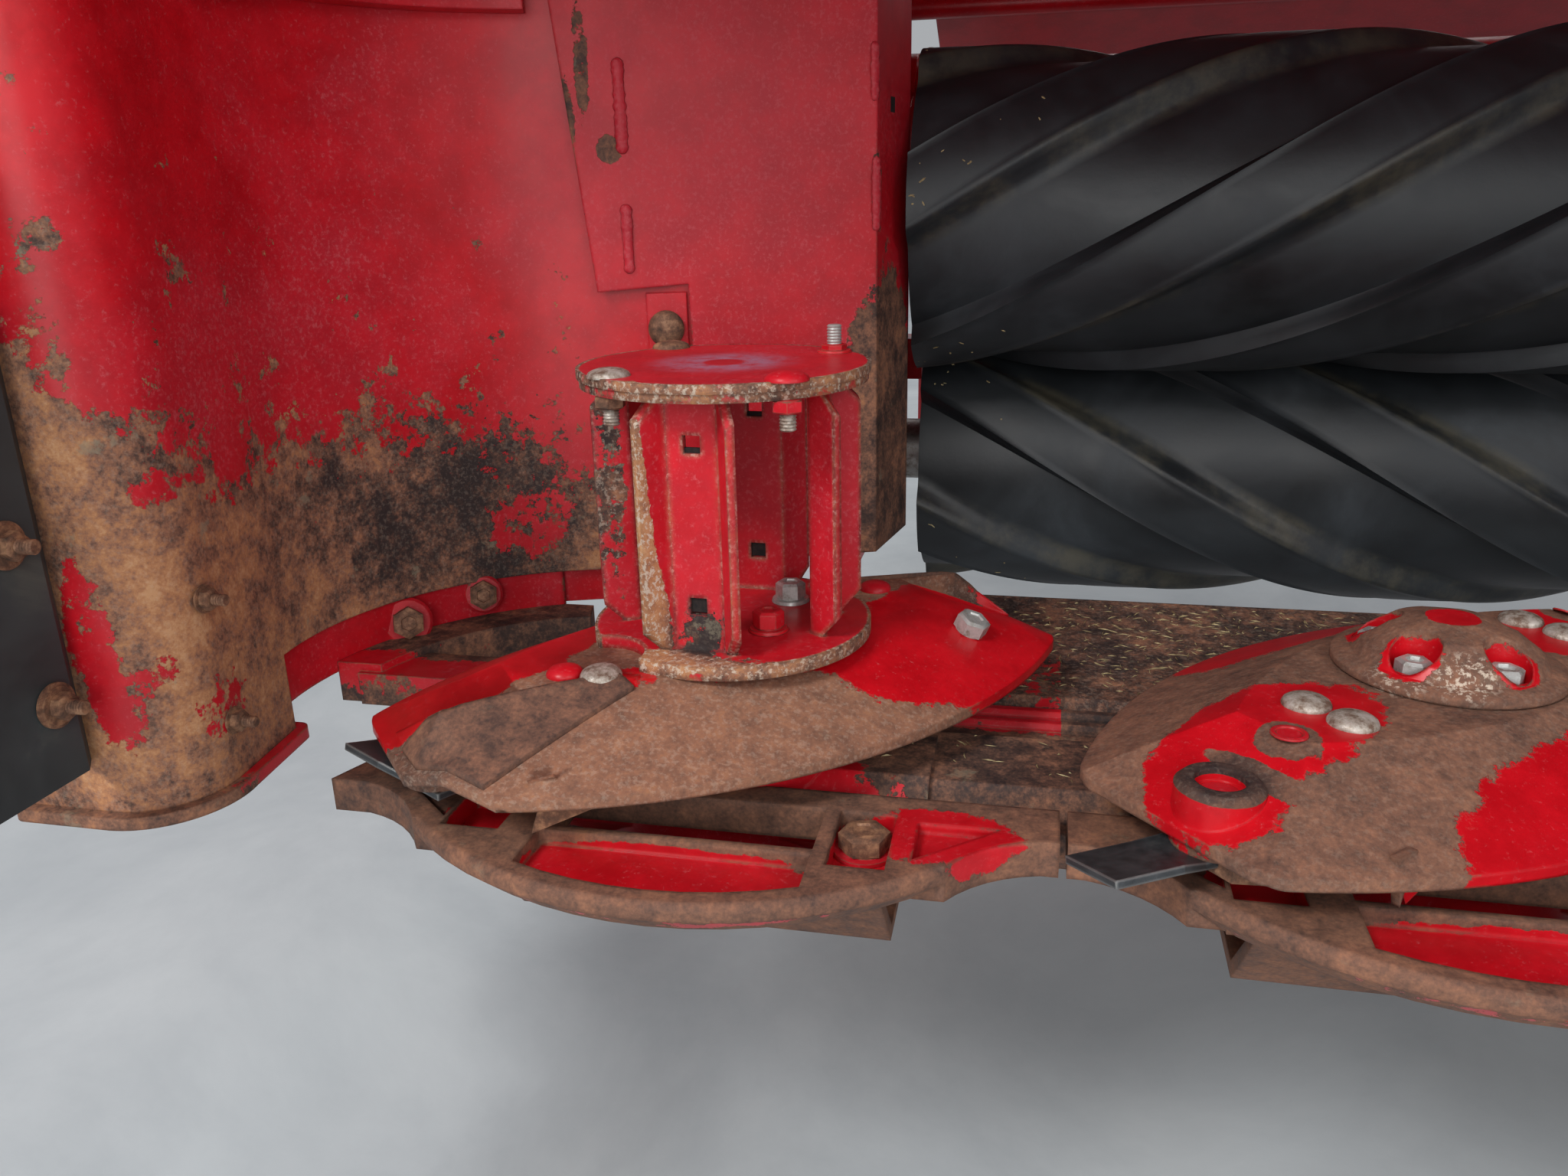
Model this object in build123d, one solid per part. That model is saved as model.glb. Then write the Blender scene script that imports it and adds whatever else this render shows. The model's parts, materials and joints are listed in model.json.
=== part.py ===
from build123d import *
import math
import os

# Cutting and conditioning header of a trailed mower conditioner: a disc cutterbar with six oval
# discs, an open turret on each end disc, two rubber rolls with helical lugs behind it, and the
# sheet-metal header that carries them. Lengths are in mm, angles in degrees. X runs along the
# cutterbar, +Y to the rear, +Z up; left and right are as seen from the front. Pieces are drawn
# from the middle of the discs' line at the level of the skid shoes, and saved with the bore of
# the top link at the origin.

os.makedirs("parts", exist_ok=True)

# Cutterbar
DISC_COUNT = 6
DISC_PITCH = 400
BAR_TOP = 84
BAR_BOTTOM = 34
BAR_FRONT = -78
BAR_REAR = 20
BAR_CHAMFER = 18
COLLAR_HALF = 127
COLLAR_STEP = 3
GEARCASE_R = 92
GEARCASE_TOP = 88
RAIL_REAR = 84
RAIL_LOW = 56
LEDGE_FRONT = 72
LEDGE_REAR = 282
LEDGE_TOP = 78
LEDGE_THICK = 6
LEDGE_CURL = 8
LEDGE_LIP = 30
RAIL_STRIP = 10
RAIL_STRIP_YS = (42, 60)
ARM_BAR_WIDTH = 44
ARM_BAR_Y = 60
ARM_BAR_TOP = 80
END_CASTING_WIDTH = 34
END_CASTING_TOP = 86
END_CASTING_FRONT = 42
END_CASTING_REAR = 186

# Discs and knives
DISC_SHORT_R = 130
DISC_END = 210
DISC_END_HALF = 58
DISC_CORNER_R = 20
DISC_RIM_TOP = 114
DISC_HUB_TOP = 145
DISC_SLOPE_RUN = 70
DISC_THICK = 6
DISC_REST_ANGLE = 222
SPINDLE_R = 46
SPINDLE_GAP = 3
TAB_ALONG = (146, 160)
TAB_ACROSS = 84
TAB_ROOT = 121
TAB_TIP = 94
BOSS_AT = (186, 10)
BOSS_R = 21
BOSS_HEIGHT = 9
BOSS_EDGE = 3
BOSS_RECESS_R = 12
BOSS_RECESS = 7
KNIFE_HEEL = 18
KNIFE_NECK_AT = 16
KNIFE_BLADE_AT = 32
KNIFE_LENGTH = 68
KNIFE_NECK = 30
KNIFE_WIDTH = 42
KNIFE_THICK = 4
KNIFE_TOP = 101
KNIFE_TWIST = 14
KNIFE_SWINGS = ((-72, 100), (-11, 24), (9, -20), (-16, 40), (12, -8), (30, -60))
# Corners of the folded plate on an end disc: along, across, top and foot heights, apex first
WEDGE = ((184, 18, 142, 120), (203, -18, 119, 111), (203, 29, 119, 111), (178, 66, 118, 113),
         (80, 42, 147, 142), (92, 30, 147, 142))
# Radius and height above the disc of the cap's bends, from its flat top to its lip
CAP_STEPS = ((14, 29), (31, 24.5), (44, 14.5), (51, 4))
CAP_POCKETS = 5
CAP_POCKET_R = 12
CAP_POCKET_AT = 36
CAP_POCKET_ANGLE = 6

# End turrets
TURRET_R = 84
TURRET_BASE_THICK = 8
TURRET_TOP_THICK = 10
TURRET_HEIGHT = 154
TURRET_REST_ANGLE = -4
TURRET_LOWER_R = 82.5
TURRET_SPLIT = 5
BLADE_COUNT = 4
BLADE_THICK = 5
BLADE_WEB = 32
BLADE_WEB_R = 56
BLADE_SPREAD = 54
BLADE_EDGE_R = 73
BLADE_CUT = 20
BLADE_HOLE = 10
BLADE_HOLE_INSET = 26
NOTCH_R = 27
NOTCH_AT = 94
NOTCH_ANGLES = (49, 229)

# Rock guards and skid shoes
GUARD_R = 207
GUARD_TOP = 84
GUARD_LOW = 64
GUARD_BEVEL = 3
GUARD_UNDERCUT = 11
GUARD_TIP = 13
GUARD_RIM = 12
GUARD_POCKET = 9
GUARD_ARC_END_Y = -150
GUARD_SWEEP = (163, -129)
GUARD_SHOULDER_X = 189
PAN_X = (-70, 76)
PAN_REAR = -150
SLOT_Y = (-145, -103)
SIDE_POCKET = (-124, -91, -154, -112)
BOLT_POCKET = (84, 114, -158, -104)
BOLT_POCKET_DEPTH = 13
TIP_PAN = ((126, -110), (168, -110), (126, -146))
TIP_PAN_DEPTH = 6
GUARD_LUG_FRONT = -118
GUARD_BACK = -84
GUARD_JOINT_GAP = 4
SKID_THICK = 8
SKID_WIDTH = 220
SKID_NOSE = 96
SKID_RISE_RUN = 54
SKID_REAR = 170
SKID_WEB = 24

# Conditioning rolls
ROLL_R = 132
ROLL_ROOT_R = 116
ROLL_LENGTH = 1860
ROLL_LUGS = 5
ROLL_TWIST_PER_M = 263
UPPER_LUG_PHASE = 16.3
LUG_TIP_ANGLE = 24
LUG_STEP_ANGLE = 3
LUG_RAMP_ANGLE = 9
UPPER_ROLL_Y = 420
UPPER_ROLL_Z = 377
LOWER_ROLL_Y = 528
LOWER_ROLL_Z = 148
SHAFT_R = 30
RUNNING_GAP = 0.06

# Roll arms
ARM_PIVOT_Y = 647
ARM_PIVOT_Z = 482
ARM_THICK = 20
ARM_HALF_DEPTH = 26
ARM_TO_FRAME = 6
ARM_EYE = 18
ARM_COLLAR = 8
TORQUE_TUBE_R = 38
TORQUE_TUBE_WALL = 6
PIVOT_PIN_R = 22
PIVOT_PIN_END = 4

# End walls, measured from the end disc's centre, outward positive
SHEET = 4
WALL_LOW = 115
NOSE_LOW = 62
NOSE_TOP = 525
PANEL_LOW = 118
PANEL_TOP = 640
WALL_REAR = (168, 191)
WALL_BULGE = (259, 135)
WALL_SIDE = (306, -18)
WALL_NECK = (298, -85)
NOSE_BULGE = (309, -124)
NOSE_TIP = (345, -139)
NOSE_OUTER = (400, -139)
WALL_LAP = 74
RIB_START = 0.06
RIB_WIDTH = 20
RIB_Z = (519, 541)
STRAP = (56, 86)
STRAP_THICK = 3
STRAP_Z = (240, 329)
PANEL_FRONT = (177, 183.5)
PANEL_FOLD = (139, 190)
PANEL_NOTCH = ((177, 640), (145, 331), (82, 335), (77, 118))
PANEL_EDGE_GAP = 5.5
PANEL_EDGE_Y = 345
PANEL_CORNER_GAP = 20
PANEL_CORNER_Y = 262
COVER_REAR = 560
COVER_LOW = 62
COVER_HEM = 22
BAND_LOW = 78
BAND_TOP = 132
BAND_THICK = 3
SEAM_GAP = 0.3
NOSE_SHOE_THICK = 8
NOSE_SHOE_LIP = 9

# Side frames, top beam and hood
ROLL_END_GAP = 28
FRAME_THICK = 8
FRAME_LOW = 62
FRAME_FRONT = 254.5
KNIFE_CLEARANCE = 6
FRAME_REAR = 800
FRAME_REAR_TOP = 620
FRAME_TOP = 780
FRAME_EDGE_CUT = 60
BEAM_SIZE = 140
BEAM_WALL = 8
BEAM_FRONT = 630
BEAM_LOW = 640
HOOD_FRONT = -60
HOOD_LIP = 42
HOOD_LIP_GAP = 8
HOOD_STEP = 60
HOOD_BEAD_WIDTH = 46
HOOD_BEAD_HEIGHT = 7
CLEVIS_HEIGHT = 78
CLEVIS_PIN_R = 12.7
CLEVIS_EAR = 16
CLEVIS_GAP = 60
CLEVIS_EAR_R = 36
CLEVIS_FOOT = 8
LINK_PIN_R = 16
LINK_Y = 720
LINK_Z = 130
LINK_BOSS_R = 38
LINK_BOSS = 26
BEARING_R = 60
LOWER_SHAFT_END = 6

# Shields, gate and windrow wings
SHIELD_SIDE_GAP = 10
SHIELD_HINGE_Y = -76
SHIELD_HINGE_Z = 655
SHIELD_HINGE_R = 9
SHIELD_LENGTH = 430
SHIELD_LEAN = 12
SHIELD_LIP = (120, 6)
SHIELD_RIB_COUNT = 5
SHIELD_RIB = (28, 10)
SHIELD_RIB_START = 50
GATE_SIDE_GAP = 29
GATE_Y = 762
GATE_Z = 585
GATE_LENGTH = 380
GATE_SLOPE = 24
GATE_LIP = (34, 51)
GATE_RIB_COUNT = 4
GATE_RIB = (24, 8)
GATE_RIB_START = 70
GATE_PIN_R = 12
GATE_PIN_END = 4
WING_LENGTH = 620
WING_LOW = 120
WING_TOP = 288
WING_TOE_TOP = 250
WING_ANGLE = 20
WING_INSET = 19
WING_HINGE_Y = 832
WING_EAR = 36
WING_HINGE_INSET = 60
WING_KNUCKLE = 6
WING_SHEET_GAP = 12
WING_TOE = 30
WING_PIN_R = 9
WING_SHEET = 4
FLAP_THICK = 5
FLAP_FRONT = -500
FLAP_LOW = 96
FLAP_TOP = 448
FLAP_SIDE = 342

# Drive
GEARBOX_SIZE = (190, 170, 150)
GEARBOX_OUT = 195
GEARBOX_Y = 420
GEARBOX_CHAMFER = 16
GEARBOX_HUB_R = 52
GEARBOX_HUB = 22
INPUT_SHAFT_R = 17.4
INPUT_SHAFT_LENGTH = 95

DISC_XS = [(i - (DISC_COUNT - 1) / 2) * DISC_PITCH for i in range(DISC_COUNT)]
END_X = DISC_XS[-1]
OUTER_X = END_X + NOSE_OUTER[0]
ROLL_HALF = ROLL_LENGTH / 2
ARM_INNER_X = ROLL_HALF + ROLL_END_GAP
FRAME_INNER_X = ARM_INNER_X + ARM_THICK + ARM_TO_FRAME
FRAME_OUTER_X = FRAME_INNER_X + FRAME_THICK
KNIFE_REACH = math.hypot(BOSS_AT[0] + KNIFE_LENGTH, KNIFE_WIDTH / 2)
WALL_TOP = PANEL_TOP - SEAM_GAP
LINK_PIN_Y = BEAM_FRONT + BEAM_SIZE / 2
LINK_PIN_Z = BEAM_LOW + BEAM_SIZE + CLEVIS_HEIGHT
TO_LINK_PIN = Location((0, -LINK_PIN_Y, -LINK_PIN_Z))


def save(name, shape):
    solids = shape.solids()
    whole = solids[0] if len(solids) == 1 else Compound(children=solids)
    whole.label = name
    export_step(TO_LINK_PIN * whole, f"parts/{name}.step")


def slab(x0, x1, y0, y1, z0, z1):
    """A block between two corners."""
    block = Box(x1 - x0, y1 - y0, z1 - z0)
    return Pos((x0 + x1) / 2, (y0 + y1) / 2, (z0 + z1) / 2) * block


def post(radius, z0, z1, x=0, y=0):
    """An upright round bar."""
    return Pos(x, y, (z0 + z1) / 2) * Cylinder(radius, z1 - z0)


def cross_bar(radius, x0, x1, y, z):
    """A round bar along X."""
    return Pos((x0 + x1) / 2, y, z) * Rot(0, 90, 0) * Cylinder(radius, x1 - x0)


def upright(outline, z0, z1):
    """A plan outline raised from z0 to z1."""
    return Pos(0, 0, z0) * extrude(outline, amount=z1 - z0)


def lengthwise(points, x0, x1):
    """A side outline, points as (y, z), run along X from x0 to x1."""
    face = Plane.YZ * make_face(Polyline(*points, close=True))
    return Pos(x0, 0, 0) * extrude(face, amount=x1 - x0)


def folded_sheet(points, half, thick=SHEET):
    """A sheet folded along X, points as (y, z), reaching half to each side."""
    return Pos(-half, 0, 0) * extrude(Plane.YZ * trace(Polyline(*points), line_width=thick),
                                      amount=2 * half)


def at_left_end(point):
    """A wall point of the left end in the header's frame."""
    return (-END_X - point[0], point[1])


def mirrored(shape):
    return mirror(shape, about=Plane.YZ)


# Cutterbar: gear cases joined by octagonal spacers, with the rail that carries the ledge and an
# arm at each end that runs out under the disc to the casting that the end wall stands on

def spacer_outline(grow=0):
    c = BAR_CHAMFER
    front, rear = BAR_FRONT - grow, BAR_REAR + grow
    low, top = BAR_BOTTOM - grow, BAR_TOP + grow
    return [(front, low + c), (front + c, low), (rear - c, low), (rear, low + c),
            (rear, top - c), (rear - c, top), (front + c, top), (front, top - c)]


def wall_arc(shift, start=0):
    """The curved end wall's line behind the turret, moved outward by shift, from a share of its length."""
    line = ThreePointArc(*[at_left_end(p) for p in (WALL_REAR, WALL_BULGE, WALL_SIDE)])
    spokes = [(line @ share - line.arc_center).normalized() for share in (start, 0.5, 1)]
    return ThreePointArc(*[line.arc_center + spoke * (line.radius + shift) for spoke in spokes])


def end_arm():
    """The left end arm and its casting."""
    line = wall_arc((SHEET - END_CASTING_WIDTH) / 2)
    casting = upright(trace(line, line_width=END_CASTING_WIDTH), RAIL_LOW, END_CASTING_TOP)
    casting &= slab(-OUTER_X, -END_X, END_CASTING_FRONT, END_CASTING_REAR, 0, PANEL_TOP)
    reach = WALL_SIDE[0] - END_CASTING_WIDTH / 2
    bar = slab(-END_X - reach, -END_X, ARM_BAR_Y - ARM_BAR_WIDTH / 2, ARM_BAR_Y + ARM_BAR_WIDTH / 2,
               RAIL_LOW, ARM_BAR_TOP)
    bar -= upright(trace(wall_arc(END_CASTING_WIDTH), line_width=2 * END_CASTING_WIDTH), 0, PANEL_TOP)
    return bar + casting


def cutterbar():
    bar = lengthwise(spacer_outline(), -END_X, END_X)
    for x in DISC_XS:
        bar += lengthwise(spacer_outline(COLLAR_STEP), x - COLLAR_HALF, x + COLLAR_HALF)
        bar += post(GEARCASE_R, BAR_BOTTOM, GEARCASE_TOP, x)
    rail_top = LEDGE_TOP - LEDGE_THICK
    bar += slab(-END_X, END_X, 0, RAIL_REAR, RAIL_LOW, rail_top)
    half = RAIL_STRIP / 2
    for y in RAIL_STRIP_YS:
        bar += lengthwise([(y - half, rail_top - 1), (y + half, rail_top - 1), (y + half, rail_top + 2),
                           (y + half / 2, rail_top + 5), (y - half / 2, rail_top + 5),
                           (y - half, rail_top + 2)], -END_X, END_X)
    arm = end_arm()
    return bar + arm + mirrored(arm)


def ledge():
    half = FRAME_INNER_X
    low = LEDGE_TOP - LEDGE_THICK
    inner = LEDGE_REAR - LEDGE_THICK
    plate = lengthwise([(LEDGE_FRONT, low), (LEDGE_FRONT + LEDGE_CURL, LEDGE_TOP),
                        (LEDGE_REAR, LEDGE_TOP), (LEDGE_REAR, LEDGE_TOP - LEDGE_LIP),
                        (inner, LEDGE_TOP - LEDGE_LIP), (inner, low)], -half, half)
    for x in DISC_XS:
        plate -= post(GEARCASE_R + SEAM_GAP, low - 1, LEDGE_TOP + 1, x)
    return plate


def rock_guard(x):
    """Cast guard under a disc with its pans, bolt pocket and skid shoe."""
    half = DISC_PITCH / 2 - GUARD_JOINT_GAP / 2
    arc_x = math.sqrt(GUARD_R ** 2 - GUARD_ARC_END_Y ** 2)
    shoulder = GUARD_SHOULDER_X
    outline = make_face([
        ThreePointArc((-arc_x, GUARD_ARC_END_Y), (0, -GUARD_R), (arc_x, GUARD_ARC_END_Y)),
        ThreePointArc((arc_x, GUARD_ARC_END_Y), GUARD_SWEEP, (shoulder, GUARD_LUG_FRONT)),
        Polyline((shoulder, GUARD_LUG_FRONT), (half, GUARD_LUG_FRONT), (half, GUARD_BACK),
                 (-half, GUARD_BACK), (-half, GUARD_LUG_FRONT), (-shoulder, GUARD_LUG_FRONT)),
        ThreePointArc((-shoulder, GUARD_LUG_FRONT), (-GUARD_SWEEP[0], GUARD_SWEEP[1]),
                      (-arc_x, GUARD_ARC_END_Y)),
    ])
    guard = upright(outline, GUARD_LOW, GUARD_TOP)
    inner, bevel = GUARD_R - GUARD_UNDERCUT, GUARD_R - GUARD_BEVEL
    profile = Polyline((inner, GUARD_LOW - 1), (inner, GUARD_LOW), (GUARD_R, GUARD_LOW + GUARD_UNDERCUT),
                       (GUARD_R, GUARD_TOP - GUARD_BEVEL), (bevel, GUARD_TOP), (bevel, GUARD_TOP + 1),
                       (GUARD_R + 1, GUARD_TOP + 1), (GUARD_R + 1, GUARD_LOW - 1), close=True)
    bevels = revolve(Plane.XZ * make_face(profile), Axis.Z)
    guard -= bevels & slab(-arc_x, arc_x, -GUARD_R - 1, GUARD_ARC_END_Y, GUARD_LOW - 1, GUARD_TOP + 1)
    rim_r = GUARD_R - GUARD_RIM
    left, right = PAN_X
    pan = make_face([
        ThreePointArc((left, -math.sqrt(rim_r ** 2 - left ** 2)), (0, -rim_r),
                      (right, -math.sqrt(rim_r ** 2 - right ** 2))),
        Polyline((right, -math.sqrt(rim_r ** 2 - right ** 2)), (right, PAN_REAR), (left, PAN_REAR),
                 (left, -math.sqrt(rim_r ** 2 - left ** 2))),
    ])
    guard -= upright(pan, GUARD_TOP - GUARD_POCKET, GUARD_TOP + 1)
    guard -= slab(left, right, SLOT_Y[0], SLOT_Y[1], GUARD_LOW - 1, GUARD_TOP + 1)
    guard -= slab(*SIDE_POCKET, GUARD_LOW - 1, GUARD_TOP + 1)
    guard -= slab(*BOLT_POCKET, GUARD_TOP - BOLT_POCKET_DEPTH, GUARD_TOP + 1)
    tip_pan = upright(make_face(Polyline(*TIP_PAN, close=True)), GUARD_TOP - TIP_PAN_DEPTH, GUARD_TOP + 1)
    guard = guard - tip_pan - mirrored(tip_pan)
    guard -= post(GEARCASE_R + SEAM_GAP, GUARD_LOW - 1, GUARD_TOP + 1)
    fold, tip = -SKID_NOSE, -SKID_NOSE - SKID_RISE_RUN
    skid = lengthwise([(tip, GUARD_LOW), (fold, 0), (SKID_REAR, 0), (SKID_REAR, SKID_THICK),
                       (fold + SKID_THICK / 2, SKID_THICK), (tip + SKID_THICK, GUARD_LOW)],
                      -SKID_WIDTH / 2, SKID_WIDTH / 2)
    web = slab(-SKID_WEB / 2, SKID_WEB / 2, -70, SKID_REAR - 30, SKID_THICK - 1, BAR_BOTTOM - COLLAR_STEP)
    if abs(x) == END_X:
        point = (half + GUARD_TIP, GUARD_LUG_FRONT)
        point = Polyline((half, GUARD_LUG_FRONT), point, (half, GUARD_BACK), close=True)
        point = upright(make_face(point), GUARD_LOW, GUARD_TOP)
        guard += point if x > 0 else mirrored(point)
    return Pos(x, 0, 0) * (guard + skid + web)


def rock_guards():
    return Compound(children=[rock_guard(x) for x in DISC_XS])


# Discs: a pressed oval plate with blunt ends, flat along its length and sloping to the sides, on
# its spindle, with a ring over each knife bolt and a clearing tab under each end

def blunt_oval():
    ends = ((-DISC_END, DISC_END_HALF), (DISC_END, DISC_END_HALF))
    (x0, y0), (x1, y1) = ends
    outline = make_face([ThreePointArc((x0, y0), (0, DISC_SHORT_R), (x1, y1)),
                         Line((x1, y1), (x1, -y1)),
                         ThreePointArc((x1, -y1), (0, -DISC_SHORT_R), (x0, -y0)),
                         Line((x0, -y0), (x0, y0))])
    return fillet(outline.vertices(), DISC_CORNER_R)


def pressing(drop):
    """The oval under a flat top with straight-sloping ends and conical sides."""
    rim, top = DISC_RIM_TOP - drop, DISC_HUB_TOP - drop
    low = rim - DISC_THICK
    spread = DISC_SLOPE_RUN / (top - rim) * DISC_THICK
    sagitta = DISC_SHORT_R - DISC_END_HALF
    side_r = (DISC_END ** 2 + sagitta ** 2) / (2 * sagitta)
    body = upright(blunt_oval(), low, top)
    ends = make_face(Polyline((-DISC_END - spread, low), (DISC_END + spread, low),
                              (DISC_END - DISC_SLOPE_RUN, top), (DISC_SLOPE_RUN - DISC_END, top),
                              close=True))
    body &= Pos(0, 2 * DISC_SHORT_R, 0) * extrude(Plane.XZ * ends, amount=4 * DISC_SHORT_R)
    cone = Cone(side_r + spread, side_r - DISC_SLOPE_RUN, top - low)
    for side in (-1, 1):
        body &= Pos(0, side * (DISC_SHORT_R - side_r), (low + top) / 2) * cone
    return body


def slope_top(along):
    """Height of the plate's top on its long axis."""
    fall = (DISC_HUB_TOP - DISC_RIM_TOP) / DISC_SLOPE_RUN
    return DISC_HUB_TOP - fall * max(0, along - (DISC_END - DISC_SLOPE_RUN))


def disc_plate(ringed):
    """The plate on its spindle; a ring stands round each knife bolt where no wedge covers it."""
    plate = pressing(0) - pressing(DISC_THICK)
    plate += post(SPINDLE_R, GEARCASE_TOP + SPINDLE_GAP, DISC_HUB_TOP - DISC_THICK / 2)
    x, y = BOSS_AT
    top = slope_top(x) + BOSS_HEIGHT if ringed else slope_top(x + BOSS_R) - DISC_THICK / 2
    ring = post(BOSS_R, KNIFE_TOP, top, x, y)
    if ringed:
        ring = chamfer(ring.edges().group_by(Axis.Z)[-1], BOSS_EDGE)
    recess = post(BOSS_RECESS_R, top - BOSS_RECESS, top + 1, x, y)
    tab = Polyline((TAB_ALONG[0], TAB_ROOT), (TAB_ALONG[1], TAB_ROOT),
                   (sum(TAB_ALONG) / 2, TAB_TIP), close=True)
    tab = Pos(0, TAB_ACROSS, 0) * extrude(Plane.XZ * make_face(tab), amount=SHEET)
    for turn in (0, 180):
        plate += Rot(0, 0, turn) * ring
        plate += Rot(0, 0, turn) * tab
        if ringed:
            plate -= Rot(0, 0, turn) * recess
    return plate


def cap():
    base = DISC_HUB_TOP
    steps = [(radius, base + rise) for radius, rise in CAP_STEPS]
    seat = base - DISC_THICK / 2
    outline = make_face(Polyline((0, steps[0][1]), *steps, (steps[-1][0], seat), (0, seat), close=True))
    dome = revolve(Plane.XZ * outline, Axis.Z)
    for i in range(CAP_POCKETS):
        turn = Rot(0, 0, CAP_POCKET_ANGLE + i * 360 / CAP_POCKETS)
        dome -= turn * post(CAP_POCKET_R, steps[-1][1], steps[0][1] + 1, CAP_POCKET_AT)
    return dome


def folded_plate(corners):
    """A solid over a ring of corners (x, y, top, foot), its top folded in a fan from the first."""
    top = [(x, y, high) for x, y, high, low in corners]
    foot = [(x, y, low) for x, y, high, low in corners]
    ring = range(len(corners))
    sides = [(top[0], top[i], top[i + 1]) for i in ring[1:-1]]
    sides += [(foot[0], foot[i + 1], foot[i]) for i in ring[1:-1]]
    for i in ring:
        sides += [(top[i - 1], foot[i - 1], foot[i]), (top[i - 1], foot[i], top[i])]
    return Solid(Shell([Face(Wire.make_polygon(side, close=True)) for side in sides]))


def disc(index):
    capped = 0 < index < DISC_COUNT - 1
    plate = disc_plate(capped)
    if capped:
        plate += cap()
    else:
        wedge = folded_plate(WEDGE)
        if index > 0:
            wedge = mirror(wedge, about=Plane.XZ)
        for turn in (0, 180):
            plate += Rot(0, 0, turn) * wedge
    return Pos(DISC_XS[index], 0, 0) * Rot(0, 0, DISC_REST_ANGLE) * plate


def knife():
    """One knife along X from its bolt, twisted towards its tip."""
    sections = []
    for along, width, twist in ((-KNIFE_HEEL, KNIFE_NECK, 0), (KNIFE_NECK_AT, KNIFE_NECK, 0),
                                (KNIFE_BLADE_AT, KNIFE_WIDTH, KNIFE_TWIST),
                                (KNIFE_LENGTH, KNIFE_WIDTH, KNIFE_TWIST)):
        place = Pos(along, 0, KNIFE_TOP - KNIFE_THICK / 2) * Rot(twist, 0, 0)
        sections.append((place * Plane.YZ.location * Rectangle(width, KNIFE_THICK)).face())
    return loft(sections, ruled=True)


def knife_pair(index):
    bolt = Pos(BOSS_AT[0], BOSS_AT[1], 0)
    blades = [Rot(0, 0, turn) * bolt * Rot(0, 0, swing) * knife()
              for turn, swing in zip((0, 180), KNIFE_SWINGS[index])]
    return Pos(DISC_XS[index], 0, 0) * Rot(0, 0, DISC_REST_ANGLE) * Compound(children=blades)


def turret():
    """The left end disc's open drum: two plates with outward-facing channel blades between."""
    base = DISC_HUB_TOP
    top = base + TURRET_BASE_THICK + TURRET_HEIGHT
    plate = post(TURRET_R, base, base + TURRET_BASE_THICK)
    for angle in NOTCH_ANGLES:
        plate -= Rot(0, 0, angle - TURRET_REST_ANGLE) * post(NOTCH_R, 0, top, NOTCH_AT)
    plate += post(TURRET_LOWER_R, top - TURRET_TOP_THICK, top - TURRET_SPLIT)
    plate += post(TURRET_R, top - TURRET_SPLIT, top)
    fold = Polyline((-BLADE_SPREAD / 2, BLADE_EDGE_R), (-BLADE_WEB / 2, BLADE_WEB_R),
                    (BLADE_WEB / 2, BLADE_WEB_R), (BLADE_SPREAD / 2, BLADE_EDGE_R))
    low, high = base + TURRET_BASE_THICK, top - TURRET_TOP_THICK
    blade = upright(trace(fold, line_width=BLADE_THICK), low - 1, high + 1)
    inner, outer = BLADE_WEB_R + BLADE_THICK, BLADE_EDGE_R + BLADE_THICK
    for z, cut in ((low - 1, BLADE_CUT), (high + 1, -BLADE_CUT)):
        blade -= lengthwise([(inner, z), (outer, z), (outer, z + cut)], -BLADE_SPREAD, BLADE_SPREAD)
    for z in (low + BLADE_HOLE_INSET, high - BLADE_HOLE_INSET):
        blade -= Pos(0, BLADE_WEB_R, z) * Box(BLADE_HOLE, 4 * BLADE_THICK, BLADE_HOLE)
    for i in range(BLADE_COUNT):
        plate += Rot(0, 0, i * 360 / BLADE_COUNT) * blade
    return Pos(DISC_XS[0], 0, 0) * Rot(0, 0, TURRET_REST_ANGLE) * plate


# Rolls: a rubber cover with five helical lugs that change hand at mid-length, on a steel shaft

def lug_profile():
    pitch = 360 / ROLL_LUGS
    points = []
    for i in range(ROLL_LUGS):
        start = i * pitch - LUG_TIP_ANGLE / 2
        for radius, angle in ((ROLL_ROOT_R, start - LUG_STEP_ANGLE), (ROLL_R, start),
                              (ROLL_R, start + LUG_TIP_ANGLE / 2), (ROLL_R, start + LUG_TIP_ANGLE),
                              (ROLL_ROOT_R, start + LUG_TIP_ANGLE + LUG_RAMP_ANGLE),
                              (ROLL_ROOT_R, start + pitch / 2 + LUG_TIP_ANGLE / 2)):
            turn = math.radians(angle)
            points.append((radius * math.cos(turn), radius * math.sin(turn)))
    return make_face(Polyline(*points, close=True))


def roll(y, z, hand, phase):
    """The rubber of one roll; hand is 1 where the lugs rise towards the middle from the left."""
    half = ROLL_HALF
    profile = lug_profile()
    if hand < 0:
        profile = mirror(profile, about=Plane.XZ)
    turn = hand * ROLL_TWIST_PER_M * half / 1000
    end = Solid.extrude_linear_with_rotation(profile.face(), (0, 0, 0), (0, 0, half), turn)
    bore = Cylinder(SHAFT_R, 4 * half)
    right = Rot(0, 90, 0) * Rot(0, 0, phase) * (end - bore)
    both = right + mirrored(right)
    return Pos(0, y, z) * both


# Side frames and what they carry

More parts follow.
